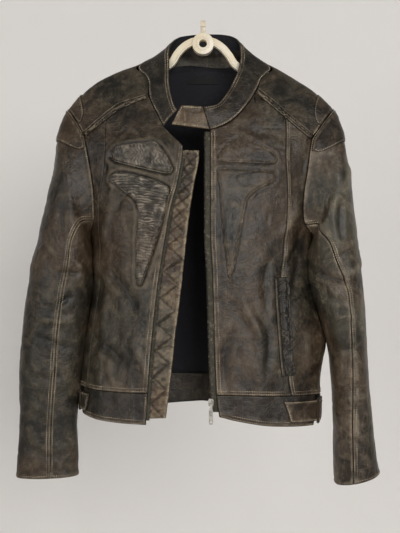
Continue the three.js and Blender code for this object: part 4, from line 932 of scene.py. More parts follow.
# %% Metal, plastic and thread
ZIP_METAL, tree, shader = new_material("zip_metal", 0.32, 1.0)
where = in_object(tree)
tarnish = ramped(tree, noise(tree, where, 260, 5, 0.7), 0.42, 0.62)
coloured(tree, shader, tarnish, (0.62, 0.6, 0.56), (0.3, 0.28, 0.24))
tree.links.new(ramped(tree, noise(tree, where, 520, 3), 0.3, 0.7, 0.24, 0.46),
               shader.inputs["Roughness"])
bumped(tree, shader, sums(tree, "MULTIPLY", tarnish, 0.03))

DARK_TEETH, tree, shader = new_material("dark_teeth_metal", 0.4, 1.0)
where = in_object(tree)
rubbed = ramped(tree, noise(tree, where, 190, 4, 0.7), 0.5, 0.66)
coloured(tree, shader, rubbed, (0.07, 0.062, 0.05), (0.34, 0.31, 0.25))
tree.links.new(ramped(tree, rubbed, 0.0, 1.0, 0.5, 0.3), shader.inputs["Roughness"])
bumped(tree, shader, sums(tree, "MULTIPLY", rubbed, 0.03))

HANGER_PLASTIC, tree, shader = new_material("hanger_plastic", 0.42)
where = in_object(tree)
yellowing = ramped(tree, noise(tree, where, 14, 4, 0.6), 0.38, 0.64)
colour = blended(tree, yellowing, (0.80, 0.74, 0.62, 1), (0.72, 0.63, 0.46, 1))
grime = ramped(tree, noise(tree, where, 70, 6, 0.75), 0.56, 0.72)
colour = blended(tree, sums(tree, "MULTIPLY", grime, 0.35), colour, (0.42, 0.34, 0.22, 1))
tree.links.new(colour, shader.inputs["Base Color"])
tree.links.new(ramped(tree, grime, 0.0, 1.0, 0.36, 0.6), shader.inputs["Roughness"])
bumped(tree, shader, sums(tree, "MULTIPLY", noise(tree, where, 180, 3), 0.12))


def thread(name, roughness, size, detail, low, high, clean, soiled):
    material, tree, shader = new_material(name, roughness)
    where = in_object(tree)
    soil = ramped(tree, noise(tree, where, size, detail, 0.7), low, high)
    coloured(tree, shader, soil, clean, soiled)
    bumped(tree, shader, sums(tree, "MULTIPLY", noise(tree, where, 2200, 2), 0.1))
    return material


THREAD = thread("thread", 0.8, 36, 5, 0.36, 0.60, (0.46, 0.375, 0.26), (0.12, 0.095, 0.065))
DARK_THREAD = thread("dark_thread", 0.85, 60, 4, 0.4, 0.62, (0.012, 0.01, 0.008),
                     (0.035, 0.028, 0.02))

PALE_WALL, tree, shader = new_material("pale_wall", 0.95)
where = in_object(tree)
patchy = noise(tree, where, 1.6, 3, 0.5)
coloured(tree, shader, patchy, (0.84, 0.82, 0.80), (0.87, 0.85, 0.83))
# The wall is clear from behind, so that a view of the back shows the jacket.
one_sided = tree.nodes.new("ShaderNodeMixShader")
tree.links.new(place_node(tree, "ShaderNodeNewGeometry").outputs["Backfacing"],
               one_sided.inputs[0])
tree.links.new(shader.outputs["BSDF"], one_sided.inputs[1])
tree.links.new(tree.nodes.new("ShaderNodeBsdfTransparent").outputs["BSDF"], one_sided.inputs[2])
finish = next(node for node in tree.nodes if node.type == "OUTPUT_MATERIAL")
tree.links.new(one_sided.outputs["Shader"], finish.inputs["Surface"])
print("finishes:", len(bpy.data.materials))

# %% [markdown]
# ## Fronts, side panels and yokes
# Each front runs from the zip edge to a princess seam, and a narrow side panel from there to
# the armhole and the side seam. The yoke goes over the shoulder, so its net is made in space,
# in a front and a back half that meet at the ridge, and the ridge is then eased round. Its neck
# edge moves with the ridge, and is kept for the collar to stand on.

# %% Outlines of the chest pads, as two edges seen from the front
PADS = {
    "right_upper_chest_pad": (
        [(-165.5, -247), (-155, -236.5), (-131, -232.5), (-102.5, -230.5), (-87, -229),
         (-76, -239), (-64, -256), (-54, -277)],
        [(-166.5, -255), (-158, -262), (-133, -270), (-110, -276), (-85, -282), (-72, -285),
         (-60, -285.5), (-56, -283)]),
    "right_lower_chest_pad": (
        [(-165, -291), (-158, -285), (-143, -284), (-111, -291), (-76, -303), (-61, -313),
         (-61, -330), (-70, -365), (-76, -386), (-94, -441), (-104, -472), (-108, -482)],
        [(-166, -296), (-160, -301), (-139, -318), (-121, -333), (-114.5, -350), (-114, -368),
         (-116.5, -386), (-117, -410), (-117.5, -440), (-118, -466), (-115, -478), (-112, -483)]),
    "left_upper_chest_pad": (
        [(25, -259), (32, -247), (43, -232), (55, -224), (66, -219.5), (82, -225), (107, -237),
         (126, -250), (131, -258)],
        [(27, -263), (34, -265), (50, -266), (65, -266.5), (80, -267), (100, -267),
         (115, -267.5), (126, -266.5), (130, -263)]),
    "left_lower_chest_pad": (
        [(129.5, -285), (129, -298), (107, -308), (88, -320), (77.5, -332), (72, -357),
         (64, -400), (54, -452), (48, -470)],
        [(128.5, -283), (105, -281), (70, -279.5), (30, -278), (25.5, -281), (28, -310),
         (33, -371), (41, -443), (45, -470.5)]),
}
print("pads:", ", ".join(PADS))


def round_pads(side, grid):
    """The leather is pressed down in a groove round each pad, with a soft swell beyond it. Through
    the crest mark the groove also gets painted shade and the swell a painted highlight.
    """
    seen = grid[..., [0, 2]]
    relief = np.zeros(grid.shape[:2])
    for name, (edge_a, edge_b) in PADS.items():
        if name.startswith(side):
            loop = np.vstack([fair_curve(edge_a, 8), fair_curve(edge_b, 8)[::-1]])
            loop = by_length(np.vstack([loop, loop[:1]]), np.linspace(0, 1, 240))
            away = np.full(grid.shape[:2], 1e9)
            for point in loop:
                away = np.minimum(away, np.hypot(*np.moveaxis(seen - point, -1, 0)))
            if side == "right":
                relief += -1.9 * bump(away / 2.6) + 1.1 * bump((away - 6.5) / 3.2)
            else:
                relief += -1.3 * bump(away / 1.7) + 0.35 * bump((away - 5) / 3.2)
    return relief


# %% Fronts and side panels
def foot_line(side, start, end, cells):
    turns = np.linspace(start, end, cells * STEPS + 1)
    return np.stack([turns, SIDES[side]["band_seam"](turns)], -1)


for side in SIDES:
    s = SEAMS[side]
    sign = SIDES[side]["sign"]
    princess_foot = s["princess"][0, 0]
    cols = CELLS["neck"] + CELLS["yoke_in"]
    plan = net(foot_line(side, 0, princess_foot, cols), joined(s["neck_front"], s["yoke_in"]),
               s["front_edge"], s["princess"], spread(135, 2.2), spread(500, 2.6))
    grid = on_body(side, plan)
    leather_sheet(f"{side}_front", grid, sign, WORN_LEATHER, "leather",
                  sewn={"near": (3.2, 9.0), "low": (3.0, 8.0)}, lined=True,
                  extra=round_pads(side, grid))
    plan = net(foot_line(side, princess_foot, 1, CELLS["yoke_out"]), s["yoke_out"],
               s["princess"], s["outer"], spread(70, 3.6), spread(480, 4.2))
    grid = on_body(side, plan)
    leather_sheet(f"{side}_side_panel", grid, sign, WORN_LEATHER, "leather", plain=("far",),
                  sewn={"near": (3.0, 8.0), "low": (3.0, 8.0)} if side == "left" else
                  {"low": (3.0, 8.0)}, lined=True)

# %% Yokes over the shoulders
RIDGE_ROUNDS, RIDGE_ROWS = 40, 6.0  # how often, and how far from the ridge, rows are averaged
NECK_EDGES = {}
for side in SIDES:
    s = SEAMS[side]
    sign = SIDES[side]["sign"]
    yoke_front = joined(s["yoke_in"], s["yoke_out"])
    u = spread(165, 3.4)
    v = spread(75, 3.4, far=False)
    edges = [on_body(side, line) for line in (
        yoke_front, s["ridge"], s["neck_up"], s["cap_front"][::-1],
        s["yoke_back"], s["neck_side"], s["cap_back"][::-1])]
    front = net(*edges[:4], u, v)
    back = net(edges[1], *edges[4:], u, 1 - v[::-1])
    grid = np.vstack([front, back[1:]])
    middle = len(v) - 1
    for _ in range(RIDGE_ROUNDS):
        eased = 0.25 * grid[:-2] + 0.5 * grid[1:-1] + 0.25 * grid[2:]
        near_ridge = bump((np.arange(1, len(grid) - 1) - middle) / RIDGE_ROWS)[:, None, None]
        inner_part = np.ones((1, grid.shape[1], 1))
        inner_part[:, -1] = 0
        grid[1:-1] = mix(grid[1:-1], eased, near_ridge * inner_part)
    NECK_EDGES[side] = grid[:, 0]
    rows = np.concatenate([v / 2, 1 - v[::-1][1:] / 2])
    leather_sheet(f"{side}_yoke", grid, sign, WORN_LEATHER, "leather", plain=("far", "near"),
                  sewn={"far": (3.0,), "high": (3.0,)}, swell=0.7, u=u, v=rows, lined=True,
                  faced=("near",))

# %% [markdown]
# ## Back panel and hem bands
# The back is one piece that runs round both sides, up the back of the armholes and along the
# yoke seams to the neck. The hem band is doubled leather with two rows of stitches, and each
# side has a notch under a small adjusting strap.

# %% Back panel
def wrapped(side, line):
    return np.stack([SIDES[side]["sign"] * np.maximum(1e-9, 2 - line[:, 0]), line[:, 1]], -1)


def band_level(reach, key):
    turn = 2 - np.abs(reach)
    return np.where(reach < 0, SIDES["right"][key](turn), SIDES["left"][key](turn))


def back_edge(side):
    s = SEAMS[side]
    return wrapped(side, joined(s["side_seam"], s["arm_back"], s["yoke_back"][::-1]))


nape = joined(wrapped("right", SEAMS["right"]["neck_back"]),
              wrapped("left", SEAMS["left"]["neck_back"])[::-1])
reach = np.linspace(-1, 1, len(nape))
back_foot = np.stack([reach, band_level(reach, "band_seam")], -1)
plan = net(back_foot, nape, back_edge("right"), back_edge("left"), spread(430, 4.6),
           spread(620, 4.8))
grid = round_skin(plan[..., 0], plan[..., 1])
leather_sheet("back_panel", grid, -1, WORN_LEATHER, "leather", plain=("near", "far"),
              sewn={"low": (3.0, 8.0), "high": (3.0,)}, lined=True)

# %% Hem bands
NOTCH = {"right": (0.8, 0.93), "left": (0.76, 0.9)}
for side in SIDES:
    s = SIDES[side]
    turns = NOTCH[side][0] * spread(180 if side == "left" else 122, 3.6)
    levels = spread(54, 3.2)
    z = mix(s["hem"](turns)[None], s["band_seam"](turns)[None], levels[:, None])
    grid = body_skin(side, turns, z)
    leather_sheet(f"{side}_hem_band", grid, s["sign"], BAND_LEATHER, "leather", thickness=2.6,
                  lift=0.3, sewn={"low": (2.6, 8.2), "near": (4.0,)}, swell=1.0)
reach = mix(-(2 - NOTCH["right"][1]), 2 - NOTCH["left"][1], spread(500, 4.2))
z = mix(band_level(reach, "hem")[None], band_level(reach, "band_seam")[None],
        spread(52, 3.4)[:, None])
grid = round_skin(reach, z)
leather_sheet("back_hem_band", grid, -1, BAND_LEATHER, "leather", thickness=2.6, lift=0.3,
              sewn={"low": (2.6, 8.2)}, swell=0.7)

# %% Facings, lining and the bare patch at the neck
reach = mix(-0.72, 0.72, spread(300, 5))
z = mix(band_level(reach, "hem")[None] + 4, -655.0, spread(50, 4)[:, None])
grid = round_skin(reach, z)
leather_sheet("back_hem_facing", grid, -1, WORN_LEATHER, "leather", thickness=1.0, lift=-3.4,
              swell=0.5)
levels = spread(570, 6)
widths = mix(0.86, 0.6, levels ** 3)
reach = mix(-1.0, 1.0, spread(380, 5))[None] * widths[:, None]
z = mix(-650.0, -76 - 40 * reach ** 2, levels[:, None])
grid = round_skin(reach, z)
leather_sheet("back_lining", grid, -1, LINING, "lining", thickness=1.0, lift=-7.5, swell=0.8)
reach = mix(-0.7, 0.7, spread(190, 3))
top = -49 - 12 * reach ** 2
z = mix(top - 19 - 2.5 * np.sin(9 * reach), top, spread(19, 2)[:, None])
grid = round_skin(reach, z)
leather_sheet("neck_facing", grid, -1, WORN_LEATHER, "leather", thickness=1.0, lift=-3.4, swell=0)
reach = mix(-0.1, 0.11, spread(62, 2))
z = mix(-102.0, -86.0, spread(16, 2)[:, None]) + 0 * reach
grid = round_skin(reach, z)
leather_sheet("neck_label", grid, -1, LABEL, "label", thickness=0.6, lift=-9.7, swell=0)

# %% [markdown]
# ## Sleeves
# A sleeve hangs in a slight bend, flatter towards the cuff. It is lofted from the armhole line
# through nine tilted rings, and cut into an upper and an under half along two long seams.

# %% Rings of the sleeves
SLEEVE_RINGS = {
    "right": [
        (266, -200, 207, -402, 2, 56, 131), (276, -265, 203, -432, -2, 58, 111),
        (290, -330, 203, -456, -6, 57, 102), (304, -395, 204, -482, -10, 55, 103),
        (321, -475, 210, -522, -14, 50, 103), (332, -560, 216, -582, -18, 44, 102),
        (337, -645, 223, -652, -20, 38, 103), (337.5, -740, 231, -742, -20, 32, 101),
        (342, -837, 229, -833, -20, 27, 100)],
    "left": [
        (258, -200, 202, -402, 2, 54, 136), (269, -262, 192, -430, -2, 58, 120),
        (278, -330, 193, -456, -6, 58, 103), (286, -400, 197, -482, -10, 56, 93),
        (293, -480, 211, -524, -14, 54, 80), (300, -560, 228, -578, -16, 52, 89),
        (304, -642, 236, -646, -16, 48, 94), (311, -737, 239, -739, -18, 44, 102),
        (324, -831, 242, -849, -18, 42, 109)],
}
SLEEVE_FOLDS = {
    "right": [(0.1, 0.52, 0.09, 0.028, 2.5), (0.3, 0.5, 0.1, 0.025, -2.4),
              (0.36, 0.4, 0.07, 0.03, 2.2), (0.2, 0.7, 0.12, 0.035, -2.0),
              (0.95, 0.45, 0.08, 0.04, 2.2), (0.543, 0.55, 0.08, 0.2, 4.0)],
    "left": [(0.3, 0.5, 0.08, 0.024, 2.8), (0.34, 0.44, 0.07, 0.02, -2.6),
             (0.4, 0.38, 0.07, 0.022, 2.4), (0.16, 0.62, 0.12, 0.035, -2.2),
             (0.9, 0.5, 0.08, 0.04, 2.2), (0.543, 0.5, 0.08, 0.09, 4.0),
             (0.543, 0.64, 0.08, 0.07, 4.0)],
}
BACK_SEAM_ANGLE = 250
print("rings in a sleeve:", len(SLEEVE_RINGS["right"]))

# %% A sleeve as a loft of rings
def armhole(side, cell):
    s = SEAMS[side]
    line = joined(s["cap_front"], s["arm_front"], s["arm_back"], s["cap_back"])
    return on_body(side, read_at(np.mod(cell, AROUND) * STEPS, np.arange(len(line)), line))


def ring(side, row, cell):
    ox, oz, ix, iz, y, half, front = row
    cell = np.mod(cell, AROUND)
    angle = np.interp(cell, [0, FRONT_SEAM, BACK_SEAM, AROUND], [0, front, BACK_SEAM_ANGLE, 360])
    t = np.radians(angle)
    share = 0.5 + 0.5 * np.cos(t)
    return np.stack([SIDES[side]["sign"] * mix(ix, ox, share), y - half * np.sin(t),
                     mix(iz, oz, share)], -1)


def sleeve_grid(side, cells, downs):
    """Points of a sleeve: a cubic runs through the rings, and the folds stand on it."""
    rings = np.stack([armhole(side, cells)] + [ring(side, r, cells) for r in SLEEVE_RINGS[side]])
    last = len(rings) - 1
    rows = []
    for down in downs:
        at = down * last
        i = int(min(last - 1, max(0, np.floor(at))))
        t = at - i
        m1 = (rings[i + 1] - rings[max(0, i - 1)]) * (0.5 if i else 1)
        m2 = (rings[min(last, i + 2)] - rings[i]) * (0.5 if i + 2 <= last else 1)
        rows.append((2 * t ** 3 - 3 * t * t + 1) * rings[i] + (t ** 3 - 2 * t * t + t) * m1
                    + (3 * t * t - 2 * t ** 3) * rings[i + 1] + (t ** 3 - t * t) * m2)
    grid = np.array(rows)
    turn = np.mod(cells / AROUND, 1)
    rise = np.zeros(grid.shape[:2])
    for c, v, wide, tall, high in SLEEVE_FOLDS[side]:
        off = np.minimum(np.abs(turn - c), 1 - np.abs(turn - c))
        rise += high * bump(off / wide)[None] * bump((downs - v) / tall)[:, None]
    return grid + normals_of(grid, -SIDES[side]["sign"]) * rise[..., None]


print("left cuff, outer side:", ring("left", SLEEVE_RINGS["left"][-1], 0.0).round(1))

# %% Upper and under sleeves
for side in SIDES:
    halves = {"upper": (BACK_SEAM - AROUND, FRONT_SEAM, 250),
              "under": (FRONT_SEAM, BACK_SEAM, 95)}
    for half, (start, end, width) in halves.items():
        cells = mix(start, end, spread(width, 3.8))
        downs = 1 - spread(650, 4.6)
        grid = sleeve_grid(side, cells, downs)
        sewn = {"low": (5.0,), "near": (2.6,), "far": (2.6,), "high": (2.8,)}
        if half == "upper":
            sewn = {"low": (5.0,), "near": (2.6, 7.6), "far": (2.6, 7.6), "high": (2.8,)}
        # The sleeve on the wearer's left is finished in a paler copy of the leather.
        finish = PALER_SLEEVE_LEATHER if side == "left" else WORN_LEATHER
        leather_sheet(f"{side}_sleeve_{half}", grid, -SIDES[side]["sign"], finish, "leather",
                      sewn=sewn, plain=("high",), u=spread(width, 3.8), v=1 - downs, lined=True,
                      groove=0.75 if side == "left" else 0.3)

# %% [markdown]
# ## Collar and throat tab
# The collar stands on the neck seam and leans in round the neck. Its top edge is measured by
# its bearing round the middle of the neck, so each point of the seam finds the point above it.
# The tab is the loose end of the collar on the wearer's left, and hangs across the opening.

# %% Collar
NECK_MIDDLE = (7, -5)
collar_top = track([
    (214, -44, -61, -171), (211, -48.6, -58, -167), (199.5, -57, -45, -141),
    (191.8, -62, -30, -108), (184.7, -62, -17, -80), (176.4, -63, -2, -54), (165.3, -60, 18, -31),
    (149.2, -48, 38, -14), (127, -27, 49, -8), (96.7, 0, 52, -5), (59.9, 33, 50, -6),
    (33.5, 57, 40, -12), (15.5, 68, 22, -24), (3.6, 69.5, 0, -53), (-5.1, 67, -17, -80),
    (-15.5, 57, -31, -108), (-25.7, 42, -43, -138), (-41.7, 23, -54, -160),
    (-63.9, 8, -60, -164), (-94, -4, -61, -164)])
half_neck = 3 * STEPS


def on_neck(side, key, start=0):
    return on_body(side, SEAMS[side][key][start:])


neck_line = joined(
    on_neck("right", "neck_front", half_neck), NECK_EDGES["right"], on_neck("right", "neck_back"),
    on_neck("left", "neck_back")[::-1], NECK_EDGES["left"][::-1],
    on_neck("left", "neck_front")[::-1])
feet = by_length(neck_line, spread(470, 3.6))
bearing = np.degrees(np.arctan2(feet[:, 1] - NECK_MIDDLE[1], feet[:, 0] - NECK_MIDDLE[0]))
bearing = np.where(bearing < -110, bearing + 360, bearing)
crown = collar_top(bearing)
feet = feet + 0.25 * unit(crown - feet)
v = spread(52, 2.8)[:, None, None]
collar_grid = mix(feet[None], crown[None], v)
collar_grid = collar_grid + normals_of(collar_grid, -1) * 2.5 * np.sin(np.pi * v)
for _ in range(6):  # a few rounds take the kinks out of the leaning rows
    collar_grid[:, 1:-1] = (0.25 * collar_grid[:, :-2] + 0.5 * collar_grid[:, 1:-1]
                            + 0.25 * collar_grid[:, 2:])
leather_sheet("collar", collar_grid, -1, BAND_LEATHER, "leather", thickness=3.0, swell=0.6,
              sewn={"high": (3.2, 8.0), "low": (3.0,), "near": (4.0,)}, lined=True,
              plain=("low",), groove=0.5, faced=("low",))

# %% Throat tab
end = collar_grid[:, -1]
rise = np.linspace(0, 1, len(end))[:, None]
far = mix(np.array([-57, -66.5, -198]), np.array([-40, -64.5, -163.0]), rise)
near = end + (-0.45, 0, 0)
t = spread(60, 2.8)[None, :, None]
tab_grid = mix(near[:, None], far[:, None], t) + np.concatenate(
    [np.zeros_like(t), -3 * np.sin(np.pi * t), np.zeros_like(t)], -1)
leather_sheet("collar_tab", tab_grid, -1, RUBBED_LEATHER, "rubbed_leather", thickness=3.0,
              swell=0.5, sewn={"low": (4.0,), "high": (4.0,), "far": (4.0,)})

# %% [markdown]
# ## Pieces that lie on the panels
# Pads, ribs, welts and straps lie on a panel, so their shape is drawn flat, as two edge lines
# seen from the front, and each point is dropped on the panel below it. A ray cast from the
# front finds that point on the creased surface, so nothing sinks in or floats. A stiff strip
# doesn't follow every crease: it bridges the dips and rests on the high places between them.

# %% Dropping a flat shape on the panels
def panels_below(*names):
    points, faces, start = [], [], 0
    for name in names:
        outer = SKINS[name][0]
        index = np.arange(outer.shape[0] * outer.shape[1]).reshape(outer.shape[:2]) + start
        faces.extend(cells_of(index).tolist())
        points.extend(outer.reshape(-1, 3).tolist())
        start = len(points)
    return BVHTree.FromPolygons(points, faces)


def dropped(tree, plan):
    grid = np.empty(plan.shape[:2] + (3,))
    for i in range(plan.shape[0]):
        for j in range(plan.shape[1]):
            x, z = plan[i, j]
            hit = tree.ray_cast(Vector((x, -400, z)), Vector((0, 1, 0)))[0]
            if hit is None:
                hit = tree.find_nearest(Vector((x, -100, z)))[0]
            grid[i, j] = hit
    return grid


def windows(values, reach):
    """The values beside each point, up to a reach of points each way."""
    padded = np.pad(values, [(r, r) for r in reach], mode="edge")
    rows, cols = values.shape
    return np.array([padded[i:i + rows, j:j + cols] for i in range(2 * reach[0] + 1)
                     for j in range(2 * reach[1] + 1)])


def bridged(base, cell):
    """A stiff strip spans the dips of what it lies on, and touches only the high places."""
    reach = (int(2.5 / cell), int(1.5 / cell))
    base[..., 1] = windows(windows(base[..., 1], reach).min(0), reach).mean(0)
    return base


print("lowest of 3 values each way:", windows(np.arange(5.0)[None], (0, 1)).min(0))

# %% A piece laid on panels
PAD_WIDTH = 30.0  # where two edges have no pairs of points to measure a width from


def applied(name, panels, edge_a, edge_b, cell, profile, material, slot, rest=0.35, relief=None,
            padding=None, edge_light_strength=1.0, stiff=False):
    """A piece drawn between two edge lines and laid on panels. Its profile is the height across
    it or, with padding, at a distance from its edge. A padded piece also gets a painted highlight
    along its edge and a painted shadow line inside it, as strong as the edge strength it is given."""
    a, b = fair_curve(edge_a), fair_curve(edge_b)
    length = max(np.linalg.norm(np.diff(line, axis=0), axis=1).sum() for line in (a, b))
    width = np.linalg.norm(a - b, axis=1).max() if len(a) == len(b) else PAD_WIDTH
    t = np.linspace(0, 1, max(8, int(length / cell)))
    share = ease(np.linspace(0, 1, max(8, int(width / cell) + 1)))
    share = mix(share, np.linspace(0, 1, len(share)), 0.5)
    plan = mix(by_length(a, t)[None], by_length(b, t)[None], share[:, None, None])
    base = dropped(panels_below(*panels), plan)
    if stiff:
        base = bridged(base, cell)
    for _ in range(int(np.ceil(5 / cell ** 2))):  # the finer the net, the more rounds it needs
        base[1:-1, 1:-1] = 0.5 * base[1:-1, 1:-1] + 0.125 * (
            base[:-2, 1:-1] + base[2:, 1:-1] + base[1:-1, :-2] + base[1:-1, 2:])
    normals = normals_of(base, 1)
    sign = 1 if normals[..., 1].mean() < 0 else -1
    normals = normals * sign
    if stiff:  # its ribs stand along one even direction, within 12 mm across and 6 mm along
        reach = (int(12 / cell), int(6 / cell))
        normals = unit(np.stack([windows(normals[..., k], reach).mean(0) for k in range(3)], -1))
    away = edge_distances(base)
    rim = nearest(away)
    ends = np.minimum(away["near"], away["far"])
    if padding is None:
        lift = track(profile)(share)[:, None] * ease(0.25 + ends / 9)
    else:
        lift = track(profile)(rim)
    height = lift + (relief(base, away) if relief else 0)
    outer = base + normals * (rest + height)[..., None]
    inner = base + normals * (rest - 0.25)
    # The crest mark gives the tops of the piece's ribs and swells a painted highlight and its low
    # places painted shade. A padded piece also gets a painted highlight along its edge and a
    # painted shadow line in the groove inside it.
    crest = 1.6 * (height - 0.7 * height.max())
    if stiff:
        crest = 4.5 * (height - 0.84 * height.max())
    if padding is not None:
        crest = 2.2 * (height - lift) + edge_light_strength * PAD_EDGE_HIGHLIGHT_AND_SHADE(rim)
    crest = crest + 0.3 * cloud(base, (7, 7, 7), 4)
    piece = walled(name, outer, inner, sign, material, rim, crest)
    dressed(piece, slot, name)
    if padding is None:
        cut_as_sheet(outer)
    print(name, "points", len(piece.data.vertices))


print("pads without paired edges count as", PAD_WIDTH, "mm wide")

# %% Chest pads
PAD_PROFILE = [(0, 0.9), (1.0, 1.4), (2.4, 0.1), (3.6, 1.5), (5.5, 3.3), (9, 4.2), (30, 4.6)]
FLAT_PROFILE = [(0, 0.9), (0.9, 1.7), (2.2, 0.8), (4, 1.6), (9, 2.3), (30, 2.5)]
# Painted highlight on a pad's edge and painted shadow in the groove just inside it, given to the
# crest mark by distance from the edge.
PAD_EDGE_HIGHLIGHT_AND_SHADE = track([(0, 1.2), (1.2, 1.5), (2.4, -1.9), (3.6, 0.3), (5.2, 1.0), (8, 0.1), (30, 0)])


def ribbed(depth, pitch, lean, wander):
    """Wavy ribs at a pitch, running across the pad where lean is 0 and up it where it is 1."""
    def relief(base, away):
        edge = ease(np.minimum(away["low"], away["high"]) / 5) * ease(
            np.minimum(away["near"], away["far"]) / 4)
        along = mix(base[..., 2], base[..., 0], lean)
        phase = along / pitch + wander * cloud(base, (22, 40, 13), 21)
        phase = phase + 0.3 * cloud(base, (7, 20, 4), 9)
        ridges = np.abs(np.sin(np.pi * phase)) ** 0.8 * (0.7 + 0.5 * cloud(base, (9, 20, 7), 13))
        return depth * edge * (ridges - 0.5) + 0.35 * cloud(base, (14, 14, 14), 6) * edge
    return relief


def smooth(base, away):
    return 0.3 * cloud(base, (13, 30, 15), 6) * ease(np.minimum(away["near"], away["far"]) / 5)


RIGHT_PANELS, LEFT_PANELS = ("right_front", "right_side_panel"), ("left_front",)
for name, panels, cell, finish, profile, edge_light_strength, relief in (
        ("right_upper_chest_pad", RIGHT_PANELS, 1.2, PAD_LEATHER, PAD_PROFILE, 1.0,
         ribbed(0.9, 4.6, 0.75, 1.2)),
        ("right_lower_chest_pad", RIGHT_PANELS, 1.1, PAD_LEATHER, PAD_PROFILE, 1.0,
         ribbed(1.4, 4.2, 0.12, 1.0)),
        ("left_upper_chest_pad", LEFT_PANELS, 1.2, SMOOTH_PAD, FLAT_PROFILE, 0.6, smooth),
        ("left_lower_chest_pad", LEFT_PANELS, 1.2, SMOOTH_PAD, FLAT_PROFILE, 0.6, smooth)):
    applied(name, panels, *PADS[name], cell, profile, finish, "pad_leather", 0.6, relief, 0.8,
            edge_light_strength)

# %% Ribbed strips along the yoke seams
RIBS = [(0, 0.6), (0.15, 1.9), (0.32, 0.7), (0.5, 2.0), (0.68, 0.7), (0.85, 1.9), (1, 0.6)]
applied("right_yoke_strip", ("right_front", "right_side_panel", "right_yoke"),
        [(-101, -136), (-126, -143.5), (-152, -151), (-185, -175), (-219, -206)],
        [(-102, -145), (-127, -156), (-153, -169), (-185, -193), (-216.5, -217)],
        0.7, RIBS, STRIP_LEATHER, "rubbed_leather", rest=0.2, stiff=True)
applied("left_yoke_strip", ("left_front", "left_side_panel", "left_yoke"),
        [(100, -123.5), (125, -145), (150, -168), (175, -190), (200, -211)],
        [(94, -135), (119, -157), (146, -181), (171, -202), (195.5, -221)],
        0.7, RIBS, STRIP_LEATHER, "rubbed_leather", rest=0.2, stiff=True)

# %% Pocket welt and the strip beside it
applied("left_pocket_welt", ("left_front", "left_side_panel"),
        [(126.5, -469), (128.5, -520), (131.5, -565), (134.5, -610), (139, -647)],
        [(130.5, -470), (133, -520), (136, -565), (139, -610), (143, -646)],
        1.0, [(0, 0.8), (0.3, 2.6), (0.7, 2.6), (1, 0.8)], WORN_LEATHER, "rubbed_leather")
applied("left_pocket_strip", ("left_side_panel", "left_front"),
        [(132.5, -470), (135, -520), (138, -565), (141, -610), (145.5, -646)],
        [(152.5, -470), (154.5, -520), (157.5, -565), (160, -610), (163.5, -644)],
        1.0, [(0, 1.6), (0.12, 0.6), (0.4, 1.5), (0.7, 1.2), (0.9, 0.6), (1, 1.6)], BAND_LEATHER,
        "leather", relief=lambda base, away: 1.5 * bump(cloud(base, (6, 20, 8), 17) / 0.16))


# %% [markdown]
# ## Shoulder patches
# Each shoulder carries an oval reinforcement, half on the yoke and half on the sleeve head.
# It follows the panel's own rows and columns, so it bends over the shoulder with it.

# %% Patches on a sheet's own net
def on_skin(name, rows, cols):
    """Points of a skin by shares of its rows and columns."""
    outer, normals, u, v = SKINS[name]
    i, j = np.interp(rows, v, np.arange(len(v))), np.interp(cols, u, np.arange(len(u)))
    i0 = np.minimum(i.astype(int), outer.shape[0] - 2)
    j0 = np.minimum(j.astype(int), outer.shape[1] - 2)
    fi, fj = (i - i0)[..., None], (j - j0)[..., None]

    def read(a):
        return mix(mix(a[i0, j0], a[i0, j0 + 1], fj), mix(a[i0 + 1, j0], a[i0 + 1, j0 + 1], fj), fi)

    return read(outer), unit(read(normals))


def patch(name, on, rows, cols, sign, rest, lift):
    base, normals = on_skin(on, rows, cols)
    rim = nearest(edge_distances(base))
    pucker = cloud(base, (9, 9, 9), 12)
    height = lift * ease(0.4 + rim / 2.5) + 0.25 * pucker - 0.35 * bump((rim - 3.5) / 0.9)
    outer = base + normals * (rest + height)[..., None]
    inner = base + normals * (rest - 0.2)
    # Its crest mark gives its rim and its stitch groove painted shade.
    piece = walled(name, outer, inner, sign, WORN_LEATHER, rim, height - lift)
    dressed(piece, "leather", name)
    cut_as_sheet(base)
    for edge in ("near", "low", "high") if "yoke" in name else ("low", "near", "far"):
        STITCH_LINES.append(line_on(outer, normals, edge, 3.5, 2))
    print(name, "points", len(piece.data.vertices))


for side in SIDES:
    sign = SIDES[side]["sign"]
    t = 0.5 - 0.5 * np.cos(np.linspace(0, np.pi, 48))
    row = mix(0.125, 0.875, t)
    start = 1 - (0.2 + 2.5 * np.sqrt(1 - ((row * 8 - 4) / 3.02) ** 2)) / 8
    cols = mix(start[:, None], 0.985, np.linspace(0, 1, 26)[None])
    patch(f"{side}_yoke_patch", f"{side}_yoke", np.broadcast_to(row[:, None], cols.shape), cols,
          sign, 0.6, 1.3)
    middle = (AROUND - BACK_SEAM) / (AROUND - BACK_SEAM + FRONT_SEAM)
    span = 1.0 / (AROUND - BACK_SEAM + FRONT_SEAM)
    col = -5 * np.cos(np.linspace(0, np.pi, 60))
    top = (1 - 0.4 / 16) ** 1.25
    drop = 0.3 + 2.8 * np.sqrt(1 - (col / 5.03) ** 2)
    share = np.linspace(0, 1, 26)[:, None]
    rows16 = mix(16 - 0.4 - drop[None], 16 - 0.3, share)
    rows = 1 - (1 - rows16 / 16) ** 1.25
    columns = np.broadcast_to(middle + col[None] * span, rows.shape)
    patch(f"{side}_sleeve_patch", f"{side}_sleeve_upper", rows, columns, -sign, 1.5, 1.3)

# %% [markdown]
# ## Strips along the front edges
# Behind the wearer's right edge lie the zip tape and a quilted wind flap, with a zigzag of
# stitches that presses troughs into its filling. The wearer's left edge carries the other tape.

# %% Zip tapes
flap_edge = track([
    (-222, 6.5), (-253, 6.7), (-300, 14.6), (-346, 22), (-390, 27.6), (-485, 37.5), (-565, 47.5),
    (-644, 55.8), (-715, 64.6)])


